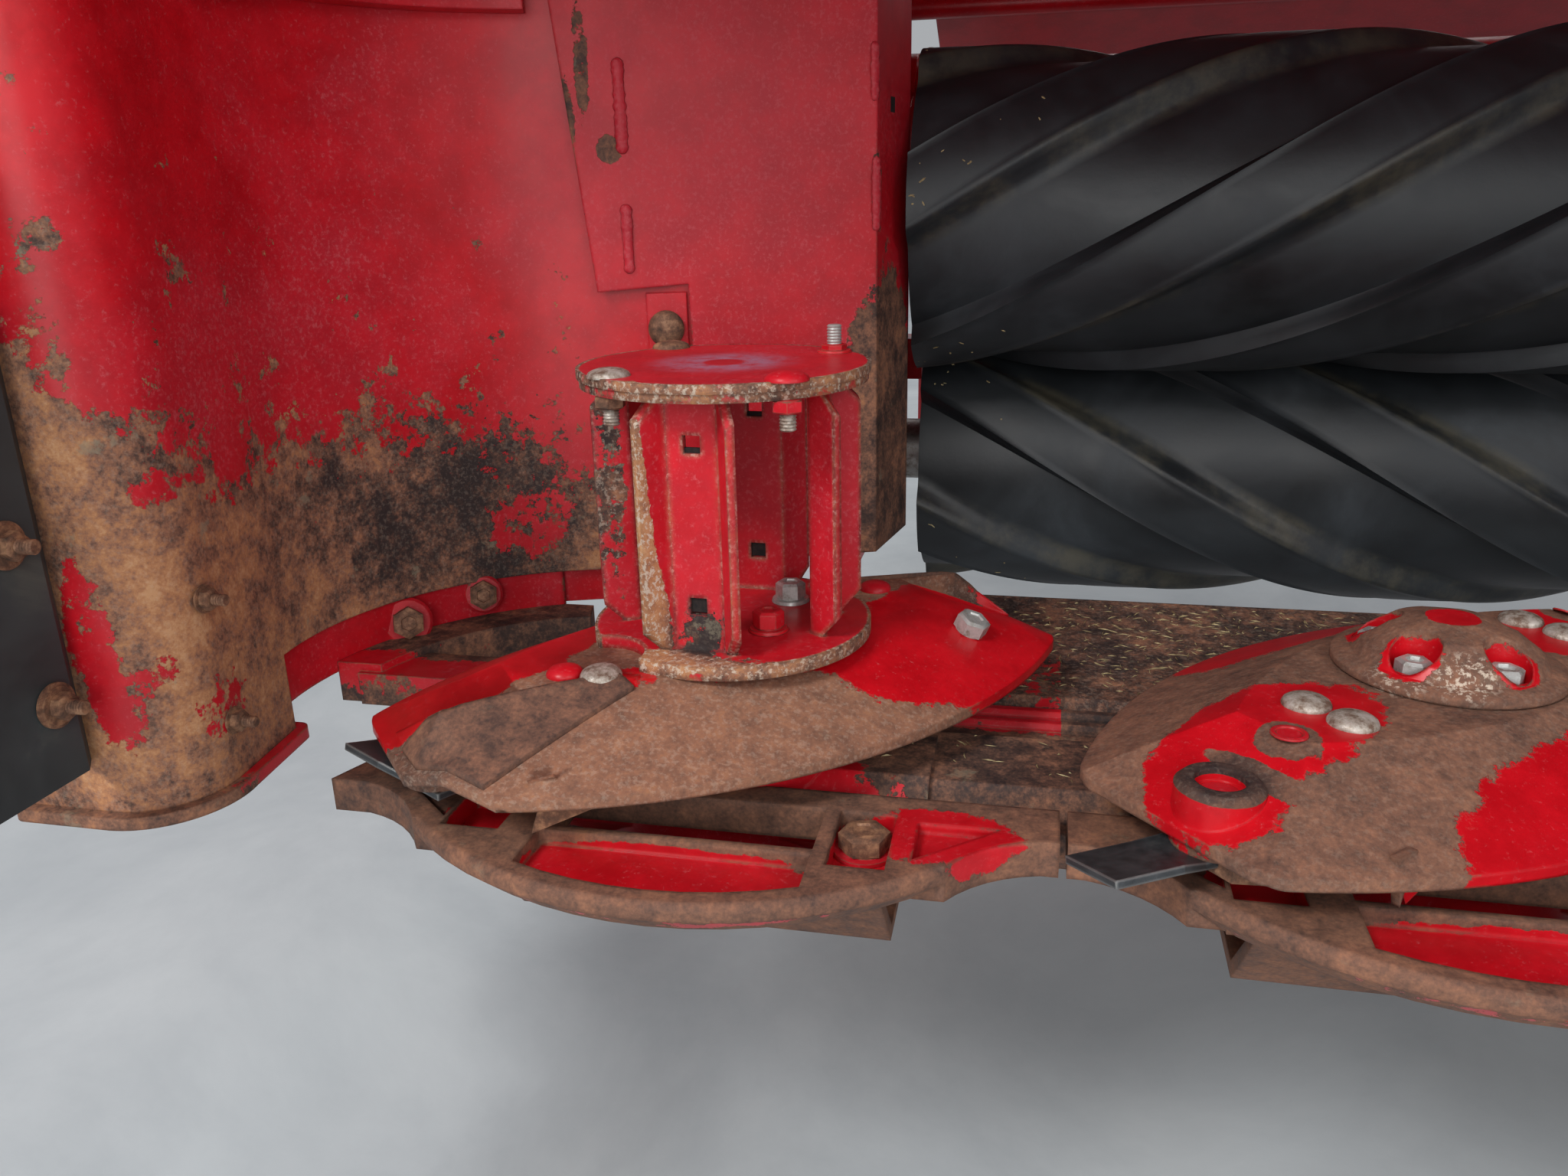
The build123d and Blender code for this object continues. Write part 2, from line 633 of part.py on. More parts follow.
def side_frame():
    """The left upright plate that carries the rolls, the top beam and the windrow wing."""
    low_front = KNIFE_REACH + KNIFE_CLEARANCE
    outline = [(low_front, FRAME_LOW), (FRAME_REAR - FRAME_EDGE_CUT, FRAME_LOW),
               (FRAME_REAR, FRAME_LOW + FRAME_EDGE_CUT), (FRAME_REAR, FRAME_REAR_TOP),
               (BEAM_FRONT + BEAM_SIZE, FRAME_TOP), (BEAM_FRONT, FRAME_TOP),
               (BEAM_FRONT - HOOD_STEP, PANEL_TOP), (FRAME_FRONT, PANEL_TOP),
               (FRAME_FRONT, PANEL_LOW), (low_front, PANEL_LOW)]
    inner = -FRAME_INNER_X
    plate = lengthwise(outline, inner - FRAME_THICK, inner)
    boss_end = inner - LINK_BOSS
    plate += cross_bar(LINK_BOSS_R, boss_end, inner, LINK_Y, LINK_Z)
    plate += cross_bar(BEARING_R, boss_end, inner, LOWER_ROLL_Y, LOWER_ROLL_Z)
    hinge_low, hinge_high = WING_LOW + WING_HINGE_INSET, WING_TOP - WING_HINGE_INSET
    hinge_x = -FRAME_INNER_X + WING_INSET
    plate += slab(inner - FRAME_THICK, hinge_x, FRAME_REAR - 20, WING_HINGE_Y, hinge_low, hinge_high)
    plate += post(WING_PIN_R + WING_KNUCKLE, hinge_low, hinge_high, hinge_x, WING_HINGE_Y)
    for radius, y, z in ((LINK_PIN_R, LINK_Y, LINK_Z),
                         (SHAFT_R + RUNNING_GAP, LOWER_ROLL_Y, LOWER_ROLL_Z),
                         (PIVOT_PIN_R + RUNNING_GAP, ARM_PIVOT_Y, ARM_PIVOT_Z),
                         (GATE_PIN_R + RUNNING_GAP, GATE_Y, GATE_Z)):
        plate -= cross_bar(radius, boss_end - 1, inner + 1, y, z)
    return plate - post(WING_PIN_R + RUNNING_GAP, hinge_low - 1, hinge_high + 1, hinge_x, WING_HINGE_Y)


def roll_arm():
    inner = -ARM_INNER_X
    outer = inner - ARM_THICK
    reach = math.hypot(UPPER_ROLL_Y - ARM_PIVOT_Y, UPPER_ROLL_Z - ARM_PIVOT_Z)
    tilt = math.degrees(math.atan2(ARM_PIVOT_Z - UPPER_ROLL_Z, ARM_PIVOT_Y - UPPER_ROLL_Y))
    beam = Pos(0, reach / 2, 0) * Box(ARM_THICK, reach, 2 * ARM_HALF_DEPTH)
    beam = Pos((outer + inner) / 2, UPPER_ROLL_Y, UPPER_ROLL_Z) * Rot(tilt, 0, 0) * beam
    arm = beam + cross_bar(SHAFT_R + ARM_EYE, outer, inner, UPPER_ROLL_Y, UPPER_ROLL_Z)
    arm += cross_bar(TORQUE_TUBE_R + ARM_COLLAR, outer, inner, ARM_PIVOT_Y, ARM_PIVOT_Z)
    arm -= cross_bar(SHAFT_R + RUNNING_GAP, outer - 1, inner + 1, UPPER_ROLL_Y, UPPER_ROLL_Z)
    return arm + cross_bar(PIVOT_PIN_R, -FRAME_OUTER_X - PIVOT_PIN_END, outer, ARM_PIVOT_Y, ARM_PIVOT_Z)


def torque_tube():
    tube = cross_bar(TORQUE_TUBE_R, -ARM_INNER_X, ARM_INNER_X, ARM_PIVOT_Y, ARM_PIVOT_Z)
    return tube - cross_bar(TORQUE_TUBE_R - TORQUE_TUBE_WALL, -FRAME_INNER_X, FRAME_INNER_X,
                            ARM_PIVOT_Y, ARM_PIVOT_Z)


def top_beam():
    y1 = BEAM_FRONT + BEAM_SIZE
    z1 = BEAM_LOW + BEAM_SIZE
    beam = slab(-FRAME_INNER_X, FRAME_INNER_X, BEAM_FRONT, y1, BEAM_LOW, z1)
    return beam - slab(-OUTER_X, OUTER_X, BEAM_FRONT + BEAM_WALL, y1 - BEAM_WALL,
                       BEAM_LOW + BEAM_WALL, z1 - BEAM_WALL)


def top_clevis():
    z0 = BEAM_LOW + BEAM_SIZE
    y0, y1 = LINK_PIN_Y - CLEVIS_EAR_R, LINK_PIN_Y + CLEVIS_EAR_R
    half = CLEVIS_GAP / 2 + CLEVIS_EAR
    clevis = slab(-half, half, y0, y1, z0, z0 + CLEVIS_FOOT)
    for low, high in ((-half, -CLEVIS_GAP / 2), (CLEVIS_GAP / 2, half)):
        clevis += slab(low, high, y0, y1, z0, LINK_PIN_Z)
        clevis += cross_bar(CLEVIS_EAR_R, low, high, LINK_PIN_Y, LINK_PIN_Z)
    return clevis - cross_bar(CLEVIS_PIN_R, -half - 1, half + 1, LINK_PIN_Y, LINK_PIN_Z)


# End walls: the curved inner deflector with its nose, the panel behind the turret, the cover

def rear_corner():
    """Where the rear panel turns to run along the roll's end."""
    return (-ROLL_HALF - PANEL_CORNER_GAP, PANEL_CORNER_Y)


def wall_tail():
    """Where the end wall ends, against the back of the rear panel."""
    corner, fold = Vector(*rear_corner()), Vector(*at_left_end(PANEL_FOLD))
    along = (corner - fold).normalized()
    end = fold + along * WALL_LAP + Vector(-along.Y, along.X) * (SHEET + SEAM_GAP)
    return (end.X, end.Y)


def wall_path():
    rear, bulge, side, neck = (at_left_end(p) for p in (WALL_REAR, WALL_BULGE, WALL_SIDE, WALL_NECK))
    nose, tip, outer = (at_left_end(p) for p in (NOSE_BULGE, NOSE_TIP, NOSE_OUTER))
    return [Line(wall_tail(), rear), ThreePointArc(rear, bulge, side), Line(side, neck),
            ThreePointArc(neck, nose, tip), Line(tip, outer)]


def front_corner():
    """What the slanted top of the nose leaves away."""
    y0 = NOSE_OUTER[1] - SHEET
    return lengthwise([(y0, NOSE_TOP), (HOOD_FRONT, PANEL_TOP), (HOOD_FRONT, FRAME_TOP),
                       (FLAP_FRONT, FRAME_TOP), (FLAP_FRONT, NOSE_TOP)], -OUTER_X - SHEET, -FRAME_INNER_X)


def end_wall():
    wall = upright(trace(wall_path(), line_width=SHEET), NOSE_LOW, WALL_TOP)
    x0, y0 = at_left_end(WALL_SIDE)
    wall -= slab(x0 - SHEET, -END_X, y0, wall_tail()[1] + SHEET, NOSE_LOW - 1, WALL_LOW)
    rear, tail = Vector(*at_left_end(WALL_REAR)), Vector(*wall_tail())
    along = (tail - rear).normalized()
    front = Vector(along.Y, -along.X) * (SHEET / 2 + STRAP_THICK / 2 - SEAM_GAP)
    ends = [rear + along * reach + front for reach in STRAP]
    wall += upright(trace(Line(*ends), line_width=STRAP_THICK), *STRAP_Z)
    rib_line = wall_arc(SEAM_GAP - (SHEET + RIB_WIDTH) / 2, RIB_START)
    wall += upright(trace(rib_line, line_width=RIB_WIDTH), *RIB_Z)
    return wall - front_corner()


def rear_panel():
    """Panel beside the roll, folded towards the end wall that it laps, with a notched front edge."""
    edge = (-ROLL_HALF - PANEL_EDGE_GAP, PANEL_EDGE_Y)
    path = Polyline(edge, rear_corner(), at_left_end(PANEL_FOLD), at_left_end(PANEL_FRONT))
    panel = upright(trace(path, line_width=SHEET), PANEL_LOW, WALL_TOP)
    front_x = -END_X - PANEL_FRONT[0] - SHEET
    cut = [(front_x, PANEL_TOP)] + [(-END_X - x, z) for x, z in PANEL_NOTCH] + [(front_x, PANEL_LOW)]
    cut = extrude(Plane.XZ * make_face(Polyline(*cut, close=True)), amount=PANEL_EDGE_Y)
    return panel - Pos(0, PANEL_EDGE_Y, 0) * cut


def end_cover():
    """Outer side sheet of the left end, hemmed inward at the rear."""
    x0 = -OUTER_X - SHEET / 2
    front = NOSE_OUTER[1] + SHEET / 2
    cover = slab(x0, x0 + SHEET, front, COVER_REAR, COVER_LOW, WALL_TOP)
    cover += slab(x0, x0 + COVER_HEM, COVER_REAR - SHEET, COVER_REAR, COVER_LOW, WALL_TOP)
    return cover - front_corner()


def nose_shoe():
    """Worn plate under the left nose and the band below the curved wall, two pieces."""
    outer = at_left_end(NOSE_OUTER)
    shoe = make_face(wall_path()[2:] + [Polyline(outer, (outer[0], WALL_SIDE[1]), at_left_end(WALL_SIDE))])
    plate = upright(offset(shoe, NOSE_SHOE_LIP), NOSE_LOW - NOSE_SHOE_THICK, NOSE_LOW)
    line = wall_arc(SHEET / 2 + BAND_THICK / 2 + SEAM_GAP)
    band = upright(trace(line, line_width=BAND_THICK), BAND_LOW, BAND_TOP)
    band -= slab(-OUTER_X, -END_X, END_CASTING_REAR, WALL_REAR[1] + BAND_THICK + SHEET, 0, BAND_TOP + 1)
    return Compound(children=plate.solids() + band.solids())


def flap():
    tip_y = NOSE_TIP[1] - SHEET / 2 - FLAP_THICK / 2 - SEAM_GAP
    x_side = -END_X - FLAP_SIDE
    path = Polyline((-OUTER_X, tip_y), (x_side - 8, tip_y), (x_side, tip_y - 10), (x_side, FLAP_FRONT))
    return upright(trace(path, line_width=FLAP_THICK), FLAP_LOW, FLAP_TOP)


def hood():
    half = OUTER_X + SHEET / 2
    step = BEAM_FRONT - HOOD_STEP - SEAM_GAP
    top = PANEL_TOP + SHEET
    plan = Polyline((-half, HOOD_FRONT), (half, HOOD_FRONT), (half, COVER_REAR),
                    (FRAME_OUTER_X, COVER_REAR), (FRAME_OUTER_X, step), (FRAME_INNER_X, step),
                    (FRAME_INNER_X, BEAM_FRONT), (-FRAME_INNER_X, BEAM_FRONT), (-FRAME_INNER_X, step),
                    (-FRAME_OUTER_X, step), (-FRAME_OUTER_X, COVER_REAR), (-half, COVER_REAR), close=True)
    deck = upright(make_face(plan), PANEL_TOP, top)
    deck += slab(-half, half, HOOD_FRONT - SHEET, HOOD_FRONT, PANEL_TOP, top)
    lip_half = END_X + WALL_NECK[0] - HOOD_LIP_GAP
    deck += slab(-lip_half, lip_half, HOOD_FRONT - SHEET, HOOD_FRONT, PANEL_TOP - HOOD_LIP, top)
    bead = HOOD_BEAD_WIDTH / 2
    shape = [(-bead, 0), (bead, 0), (bead - HOOD_BEAD_HEIGHT, HOOD_BEAD_HEIGHT),
             (HOOD_BEAD_HEIGHT - bead, HOOD_BEAD_HEIGHT)]
    length = COVER_REAR - HOOD_FRONT - 2 * HOOD_BEAD_WIDTH
    for x in DISC_XS:
        run = extrude(Plane.XZ * make_face(Polyline(*shape, close=True)), amount=-length)
        deck += Pos(x, HOOD_FRONT + HOOD_BEAD_WIDTH, top) * run
    return deck


# Moving shields

def front_shield():
    """Front lid, drawn raised on its hinge at the hood's front edge, with ribs on its outer face."""
    half = OUTER_X - SHIELD_SIDE_GAP
    lip_y, lip_z = SHIELD_LIP
    lid = folded_sheet([(0, 0), (0, SHIELD_LENGTH), (lip_y, SHIELD_LENGTH + lip_z)], half)
    lid += cross_bar(SHIELD_HINGE_R, -half, half, 0, 0)
    width, height = SHIELD_RIB
    spacing = 2 * half / SHIELD_RIB_COUNT
    for i in range(SHIELD_RIB_COUNT):
        x = (i - (SHIELD_RIB_COUNT - 1) / 2) * spacing
        lid += slab(x - width / 2, x + width / 2, 0, height, SHIELD_RIB_START, SHIELD_LENGTH)
    return Pos(0, SHIELD_HINGE_Y, SHIELD_HINGE_Z) * Rot(SHIELD_LEAN, 0, 0) * lid


def swath_gate():
    half = FRAME_INNER_X - GATE_SIDE_GAP
    gate = folded_sheet([(0, 0), (GATE_LENGTH, 0), (GATE_LENGTH + GATE_LIP[0], -GATE_LIP[1])], half)
    pin_end = FRAME_OUTER_X + GATE_PIN_END
    gate += cross_bar(GATE_PIN_R, -pin_end, pin_end, 0, 0)
    width, height = GATE_RIB
    spacing = 2 * half / GATE_RIB_COUNT
    for i in range(GATE_RIB_COUNT):
        x = (i - (GATE_RIB_COUNT - 1) / 2) * spacing
        gate += slab(x - width / 2, x + width / 2, GATE_RIB_START, GATE_LENGTH, 0, height)
    return Pos(0, GATE_Y, GATE_Z) * Rot(-GATE_SLOPE, 0, 0) * gate


def wing():
    start = WING_PIN_R + WING_SHEET_GAP
    side = Polyline((start, WING_LOW), (WING_LENGTH, WING_LOW + WING_TOE), (WING_LENGTH, WING_TOE_TOP),
                    (start, WING_TOP), close=True)
    sheet = Pos(-WING_SHEET / 2, 0, 0) * extrude(Plane.YZ * make_face(side), amount=WING_SHEET)
    leaf = start + WING_SHEET_GAP
    ears = slab(-3, 3, 0, leaf, WING_LOW, WING_LOW + WING_EAR)
    ears += slab(-3, 3, 0, leaf, WING_TOP - WING_EAR, WING_TOP)
    shape = sheet + ears + post(WING_PIN_R, WING_LOW, WING_TOP)
    return Pos(-FRAME_INNER_X + WING_INSET, WING_HINGE_Y, 0) * Rot(0, 0, -WING_ANGLE) * shape


# Drive on the right end

def gearbox():
    length, depth, height = GEARBOX_SIZE
    z = PANEL_TOP + SHEET + height / 2
    case = chamfer(Box(length, depth, height).edges(), GEARBOX_CHAMFER)
    hub = Pos(0, depth / 2, 0) * Rot(-90, 0, 0) * Pos(0, 0, GEARBOX_HUB / 2) * Cylinder(GEARBOX_HUB_R,
                                                                                 GEARBOX_HUB)
    return Pos(END_X + GEARBOX_OUT, GEARBOX_Y, z) * (case + hub)


def input_shaft():
    z = PANEL_TOP + SHEET + GEARBOX_SIZE[2] / 2
    y = GEARBOX_Y + GEARBOX_SIZE[1] / 2 + GEARBOX_HUB + INPUT_SHAFT_LENGTH / 2
    return Pos(END_X + GEARBOX_OUT, y, z) * Rot(90, 0, 0) * Cylinder(INPUT_SHAFT_R, INPUT_SHAFT_LENGTH)


save("cutterbar", cutterbar())
save("ledge", ledge())
save("rock_guards", rock_guards())
for i in range(DISC_COUNT):
    save(f"disc_{i + 1}", disc(i))
    save(f"knives_{i + 1}", knife_pair(i))
nip_angle = math.degrees(math.atan2(LOWER_ROLL_Y - UPPER_ROLL_Y, UPPER_ROLL_Z - LOWER_ROLL_Z))
save("upper_roll", roll(UPPER_ROLL_Y, UPPER_ROLL_Z, 1, UPPER_LUG_PHASE))
save("lower_roll", roll(LOWER_ROLL_Y, LOWER_ROLL_Z, -1, 2 * nip_angle - UPPER_LUG_PHASE))
upper_end = ARM_INNER_X + ARM_THICK
lower_end = FRAME_INNER_X + LINK_BOSS + LOWER_SHAFT_END
save("upper_shaft", cross_bar(SHAFT_R, -upper_end, upper_end, UPPER_ROLL_Y, UPPER_ROLL_Z))
save("lower_shaft", cross_bar(SHAFT_R, -lower_end, lower_end, LOWER_ROLL_Y, LOWER_ROLL_Z))
for name, shape in (("turret", turret()), ("side_frame", side_frame()), ("roll_arm", roll_arm()),
                    ("wall", end_wall()), ("rear_panel", rear_panel()), ("end_cover", end_cover()),
                    ("nose_shoe", nose_shoe()), ("flap", flap()), ("wing", wing())):
    save(f"left_{name}", shape)
    save(f"right_{name}", mirrored(shape))
save("torque_tube", torque_tube())
save("top_beam", top_beam())
save("top_clevis", top_clevis())
save("hood", hood())
save("front_shield", front_shield())
save("swath_gate", swath_gate())
save("gearbox", gearbox())
save("input_shaft", input_shaft())
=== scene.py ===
import json
import math
import random

import bmesh
import bpy
from mathutils import Matrix, Vector
from mathutils.bvhtree import BVHTree


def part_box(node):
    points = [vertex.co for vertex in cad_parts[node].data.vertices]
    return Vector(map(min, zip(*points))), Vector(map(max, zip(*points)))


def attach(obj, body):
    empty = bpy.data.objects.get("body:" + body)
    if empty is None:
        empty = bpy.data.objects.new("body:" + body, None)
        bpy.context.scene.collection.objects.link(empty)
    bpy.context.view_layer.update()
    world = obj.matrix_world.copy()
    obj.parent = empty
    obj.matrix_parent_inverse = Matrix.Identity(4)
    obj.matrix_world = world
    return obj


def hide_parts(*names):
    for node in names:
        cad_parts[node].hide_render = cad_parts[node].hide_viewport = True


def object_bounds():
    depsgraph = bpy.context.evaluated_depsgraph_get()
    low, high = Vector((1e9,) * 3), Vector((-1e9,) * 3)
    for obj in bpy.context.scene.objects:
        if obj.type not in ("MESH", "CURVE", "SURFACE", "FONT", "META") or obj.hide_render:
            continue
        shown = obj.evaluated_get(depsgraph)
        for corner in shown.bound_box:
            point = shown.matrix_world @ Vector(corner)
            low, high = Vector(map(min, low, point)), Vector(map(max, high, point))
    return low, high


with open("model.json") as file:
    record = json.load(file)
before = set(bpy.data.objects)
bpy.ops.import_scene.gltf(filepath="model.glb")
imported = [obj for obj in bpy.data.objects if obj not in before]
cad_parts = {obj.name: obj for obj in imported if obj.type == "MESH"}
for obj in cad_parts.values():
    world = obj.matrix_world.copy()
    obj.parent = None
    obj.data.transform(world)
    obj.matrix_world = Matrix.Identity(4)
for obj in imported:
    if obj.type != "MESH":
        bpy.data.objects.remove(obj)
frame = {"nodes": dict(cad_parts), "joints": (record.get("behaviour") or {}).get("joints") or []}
cad_bounds = [list(corner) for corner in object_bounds()]
nodes = frame["nodes"]
joint_at = {joint["child"]: Vector(joint["pos_m"]) for joint in frame["joints"]}
scene = bpy.context.scene
scene.view_settings.view_transform = "Standard"


# The camera stands low in front of the left end of the header, a little higher than the turret's top,
# and looks slightly down and to the left, in under the open front shield.
IMAGE_WIDTH = 2048
FOCAL_PIXELS = 1540
SENSOR = 36.0
NEAREST_SEEN = 0.02
CAMERA_AT = Vector((-0.82173, -1.35662, -0.45973))
CAMERA_YAW = math.radians(12.55)
CAMERA_PITCH = math.radians(18.56)
CAMERA_ROLL = math.radians(-1.31)

level_forward = Vector((-math.sin(CAMERA_YAW), math.cos(CAMERA_YAW), 0))
level_right = Vector((math.cos(CAMERA_YAW), math.sin(CAMERA_YAW), 0))
forward = level_forward * math.cos(CAMERA_PITCH) - Vector((0, 0, math.sin(CAMERA_PITCH)))
level_up = level_right.cross(forward)
right = level_right * math.cos(CAMERA_ROLL) + level_up * math.sin(CAMERA_ROLL)
up = level_up * math.cos(CAMERA_ROLL) - level_right * math.sin(CAMERA_ROLL)
camera = bpy.data.objects.new("camera", bpy.data.cameras.new("camera"))
camera.data.sensor_width = SENSOR
camera.data.lens = FOCAL_PIXELS / IMAGE_WIDTH * SENSOR
camera.data.clip_start = NEAREST_SEEN
camera.matrix_world = Matrix.Translation(CAMERA_AT) @ Matrix((right, up, -forward)).transposed().to_4x4()
scene.collection.objects.link(camera)
scene.camera = camera


# A pale studio floor of smooth concrete lies a hand's width and more below the skid shoes, because the
# header hangs on its carrier. Soft lamps and a pale world light it evenly, most of all from the front.
FLOOR_DROP = 0.30
FLOOR_SIZE = 40.0
CONCRETE_STOPS = ((0.30, 0.40, 0.43, 0.45), (0.70, 0.56, 0.59, 0.60))
WORLD_COLOUR = (0.93, 0.96, 1.0, 1)
WORLD_STRENGTH = 0.42
LAMPS = (
    # name, place, aim, size, watts
    ("front_left", (-2.6, -3.6, 2.3), (-0.9, -0.5, -0.6), 1.3, 125),
    ("front_right", (2.4, -3.6, 1.8), (0.2, -0.3, -0.5), 2.8, 60),
    ("low_front", (-0.6, -3.4, -0.1), (-0.8, 0.0, -0.6), 2.0, 30),
    ("rear", (0.6, 4.5, 3.2), (0, 0.2, -0.4), 4.0, 95),
)


def feed(tree, node, inputs):
    """Joins or sets a node's inputs, given as {socket: value}."""
    for socket, value in inputs.items():
        if isinstance(value, bpy.types.NodeSocket):
            tree.links.new(value, node.inputs[socket])
        else:
            node.inputs[socket].default_value = value


def add_node(tree, kind, inputs=(), **settings):
    """Adds a shader node with its settings, and feeds its inputs."""
    made = tree.nodes.new(kind)
    for name, value in settings.items():
        setattr(made, name, value)
    feed(tree, made, dict(inputs))
    return made


def new_material(name):
    """A node material, with its tree, its principled shader and the object's own coordinates."""
    material = bpy.data.materials.new(name)
    material.use_nodes = True
    tree = material.node_tree
    tree.nodes.clear()
    surface = add_node(tree, "ShaderNodeBsdfPrincipled")
    add_node(tree, "ShaderNodeOutputMaterial", {"Surface": surface.outputs[0]})
    place = add_node(tree, "ShaderNodeTexCoord").outputs["Object"]
    return material, tree, surface, place


def noise(tree, vector, scale, detail=5.0, roughness=0.6, distortion=0.0):
    """Cloudy noise between 0 and 1, with about so many clouds to the metre."""
    inputs = {"Vector": vector, "Scale": scale, "Detail": detail,
              "Roughness": roughness, "Distortion": distortion}
    return add_node(tree, "ShaderNodeTexNoise", inputs).outputs[0]


def ramp(tree, value, stops):
    """A colour ramp with (position, red, green, blue) stops."""
    made = add_node(tree, "ShaderNodeValToRGB", {"Fac": value})
    elements = made.color_ramp.elements
    while len(elements) < len(stops):
        elements.new(0.5)
    for element, (position, *colour) in zip(elements, stops):
        element.position = position
        element.color = (*colour, 1)
    return made.outputs[0]


floor_mesh = bpy.data.meshes.new("floor")
reach = FLOOR_SIZE / 2
corners = [(-reach, -reach, 0), (reach, -reach, 0), (reach, reach, 0), (-reach, reach, 0)]
floor_mesh.from_pydata(corners, [], [(0, 1, 2, 3)])
floor = bpy.data.objects.new("floor", floor_mesh)
floor.location.z = cad_bounds[0][2] - FLOOR_DROP
scene.collection.objects.link(floor)
concrete, tree, surface, place = new_material("pale_concrete")
cloud = noise(tree, place, 2.2, 9, 0.66, 0.4)
feed(tree, surface, {"Base Color": ramp(tree, cloud, CONCRETE_STOPS), "Roughness": 0.8})
floor.data.materials.append(concrete)

for name, place_of_lamp, aim, size, watts in LAMPS:
    lamp = bpy.data.objects.new(name, bpy.data.lights.new(name, "AREA"))
    lamp.data.shape = "DISK"
    lamp.data.size = size
    lamp.data.energy = watts
    lamp.location = place_of_lamp
    lamp.rotation_euler = (Vector(aim) - Vector(place_of_lamp)).to_track_quat("-Z", "Y").to_euler()
    scene.collection.objects.link(lamp)
world = bpy.data.worlds.new("studio")
scene.world = world
world.use_nodes = True
background = world.node_tree.nodes["Background"]
feed(world.node_tree, background, {"Color": WORLD_COLOUR, "Strength": WORLD_STRENGTH})


# The cutterbar is a long flat gear case with round spindle collars, sheet rails behind it and a cast
# arm at each end. It was painted red, and soil and stones have worn most of it down to brown rust.
END_DISC_X = abs(joint_at["disc_1"].x)
DISC_TOP = joint_at["disc_1"].z
PITCH = joint_at["disc_2"].x - joint_at["disc_1"].x
RUST_STOPS = (
    (0.28, 0.030, 0.020, 0.019), (0.40, 0.075, 0.041, 0.031), (0.50, 0.165, 0.080, 0.052),
    (0.59, 0.265, 0.122, 0.072), (0.71, 0.39, 0.175, 0.080), (0.87, 0.50, 0.27, 0.135),
)
PALE_FLECK = (0.52, 0.42, 0.33, 1)
LICHEN = (0.25, 0.225, 0.155, 1)
DEEP_RED = (0.40, 0.003, 0.0072, 1)
CLEAR_RED = (0.56, 0.0055, 0.012, 1)
HAZY_RED = (0.47, 0.042, 0.070, 1)
CHALKY_RED = (0.56, 0.13, 0.145, 1)
MAUVE_BLOOM = (0.36, 0.16, 0.24, 1)
CHIP_RIM = (0.52, 0.13, 0.11, 1)
BAR_REDS = [
    # each patch of paint or wear, here and below: its centre, its size and its amount
    ((0, -0.09, -0.075), (0.115, 0.06, 0.06), -1.10),
    ((0.2, 0.053, -0.065), (0.2, 0.022, 0.03), -0.62),
    ((-0.29, 0.09, -0.05), (0.05, 0.06, 0.03), -0.45),
]


def shader_group(name, inputs, outputs):
    """An empty node group with typed inputs, given with their standing values, and typed outputs."""
    group = bpy.data.node_groups.new(name, "ShaderNodeTree")
    kinds = {"f": "NodeSocketFloat", "v": "NodeSocketVector", "c": "NodeSocketColor"}
    for socket, kind, value in inputs:
        made = group.interface.new_socket(socket, in_out="INPUT", socket_type=kinds[kind])
        if value is not None:
            made.default_value = value
    for socket, kind in outputs:
        group.interface.new_socket(socket, in_out="OUTPUT", socket_type=kinds[kind])
    return group, group.nodes.new("NodeGroupInput").outputs, group.nodes.new("NodeGroupOutput")


def calculate(tree, operation, first, second=0.0, third=0.0):
    """The result of one sum on two or three values."""
    return add_node(tree, "ShaderNodeMath", {0: first, 1: second, 2: third}, operation=operation).outputs[0]


def of_vectors(tree, operation, first, second=(0, 0, 0), output="Vector"):
    """The result of one sum on vectors, which is a vector unless the output says Value."""
    inputs = {0: first, 1: second}
    return add_node(tree, "ShaderNodeVectorMath", inputs, operation=operation).outputs[output]


def step_between(tree, value, low, high, start=0.0, end=1.0):
    """A value that runs smoothly from start to end as another goes from low to high."""
    inputs = {"Value": value, "From Min": low, "From Max": high, "To Min": start, "To Max": end}
    return add_node(tree, "ShaderNodeMapRange", inputs, interpolation_type="SMOOTHSTEP").outputs[0]


def mixed(tree, share, first, second):
    """Two colours mixed by a share between 0 and 1."""
    return add_node(tree, "ShaderNodeMix", {0: share, 6: first, 7: second}, data_type="RGBA").outputs[2]


def moved(tree, vector, by):
    """Shifted coordinates, with which a noise is unlike the others."""
    return of_vectors(tree, "ADD", vector, by)


def swing(tree, cloud):
    """How far a noise is above or below its middle."""
    return calculate(tree, "SUBTRACT", cloud, 0.5)


rust, given, result = shader_group(
    "rust",
    [("Vector", "v", None), ("Dark", "f", 0.3), ("Ochre", "f", 0.4), ("Patchy", "f", 0.6),
     ("Pale", "f", 0.0)],
    [("Color", "c"), ("Roughness", "f"), ("Height", "f")],
)
broad = noise(rust, given["Vector"], 15, 8, 0.70)
mottle = noise(rust, moved(rust, given["Vector"], (3, 1, 2)), 75, 8, 0.76)
grain = noise(rust, given["Vector"], 420, 4, 0.6)
level = calculate(rust, "MULTIPLY", swing(rust, broad), given["Patchy"])
for cloud, share, least in ((mottle, 0.85, 0.22), (grain, 0.30, 0.12)):
    strength = calculate(rust, "MULTIPLY_ADD", given["Patchy"], share, least)
    level = calculate(rust, "MULTIPLY_ADD", swing(rust, cloud), strength, level)
level = calculate(rust, "ADD", level, 0.5)
shift = calculate(rust, "SUBTRACT", given["Ochre"], given["Dark"])
brown = ramp(rust, calculate(rust, "MULTIPLY_ADD", shift, 0.34, level), RUST_STOPS)
fleck = step_between(rust, noise(rust, moved(rust, given["Vector"], (1, 8, 4)), 330, 5, 0.7), 0.50, 0.62)
brown = mixed(rust, calculate(rust, "MULTIPLY", fleck, given["Pale"]), brown, PALE_FLECK)
lichen = step_between(rust, noise(rust, moved(rust, given["Vector"], (5, 2, 9)), 34, 8, 0.72), 0.60, 0.66)
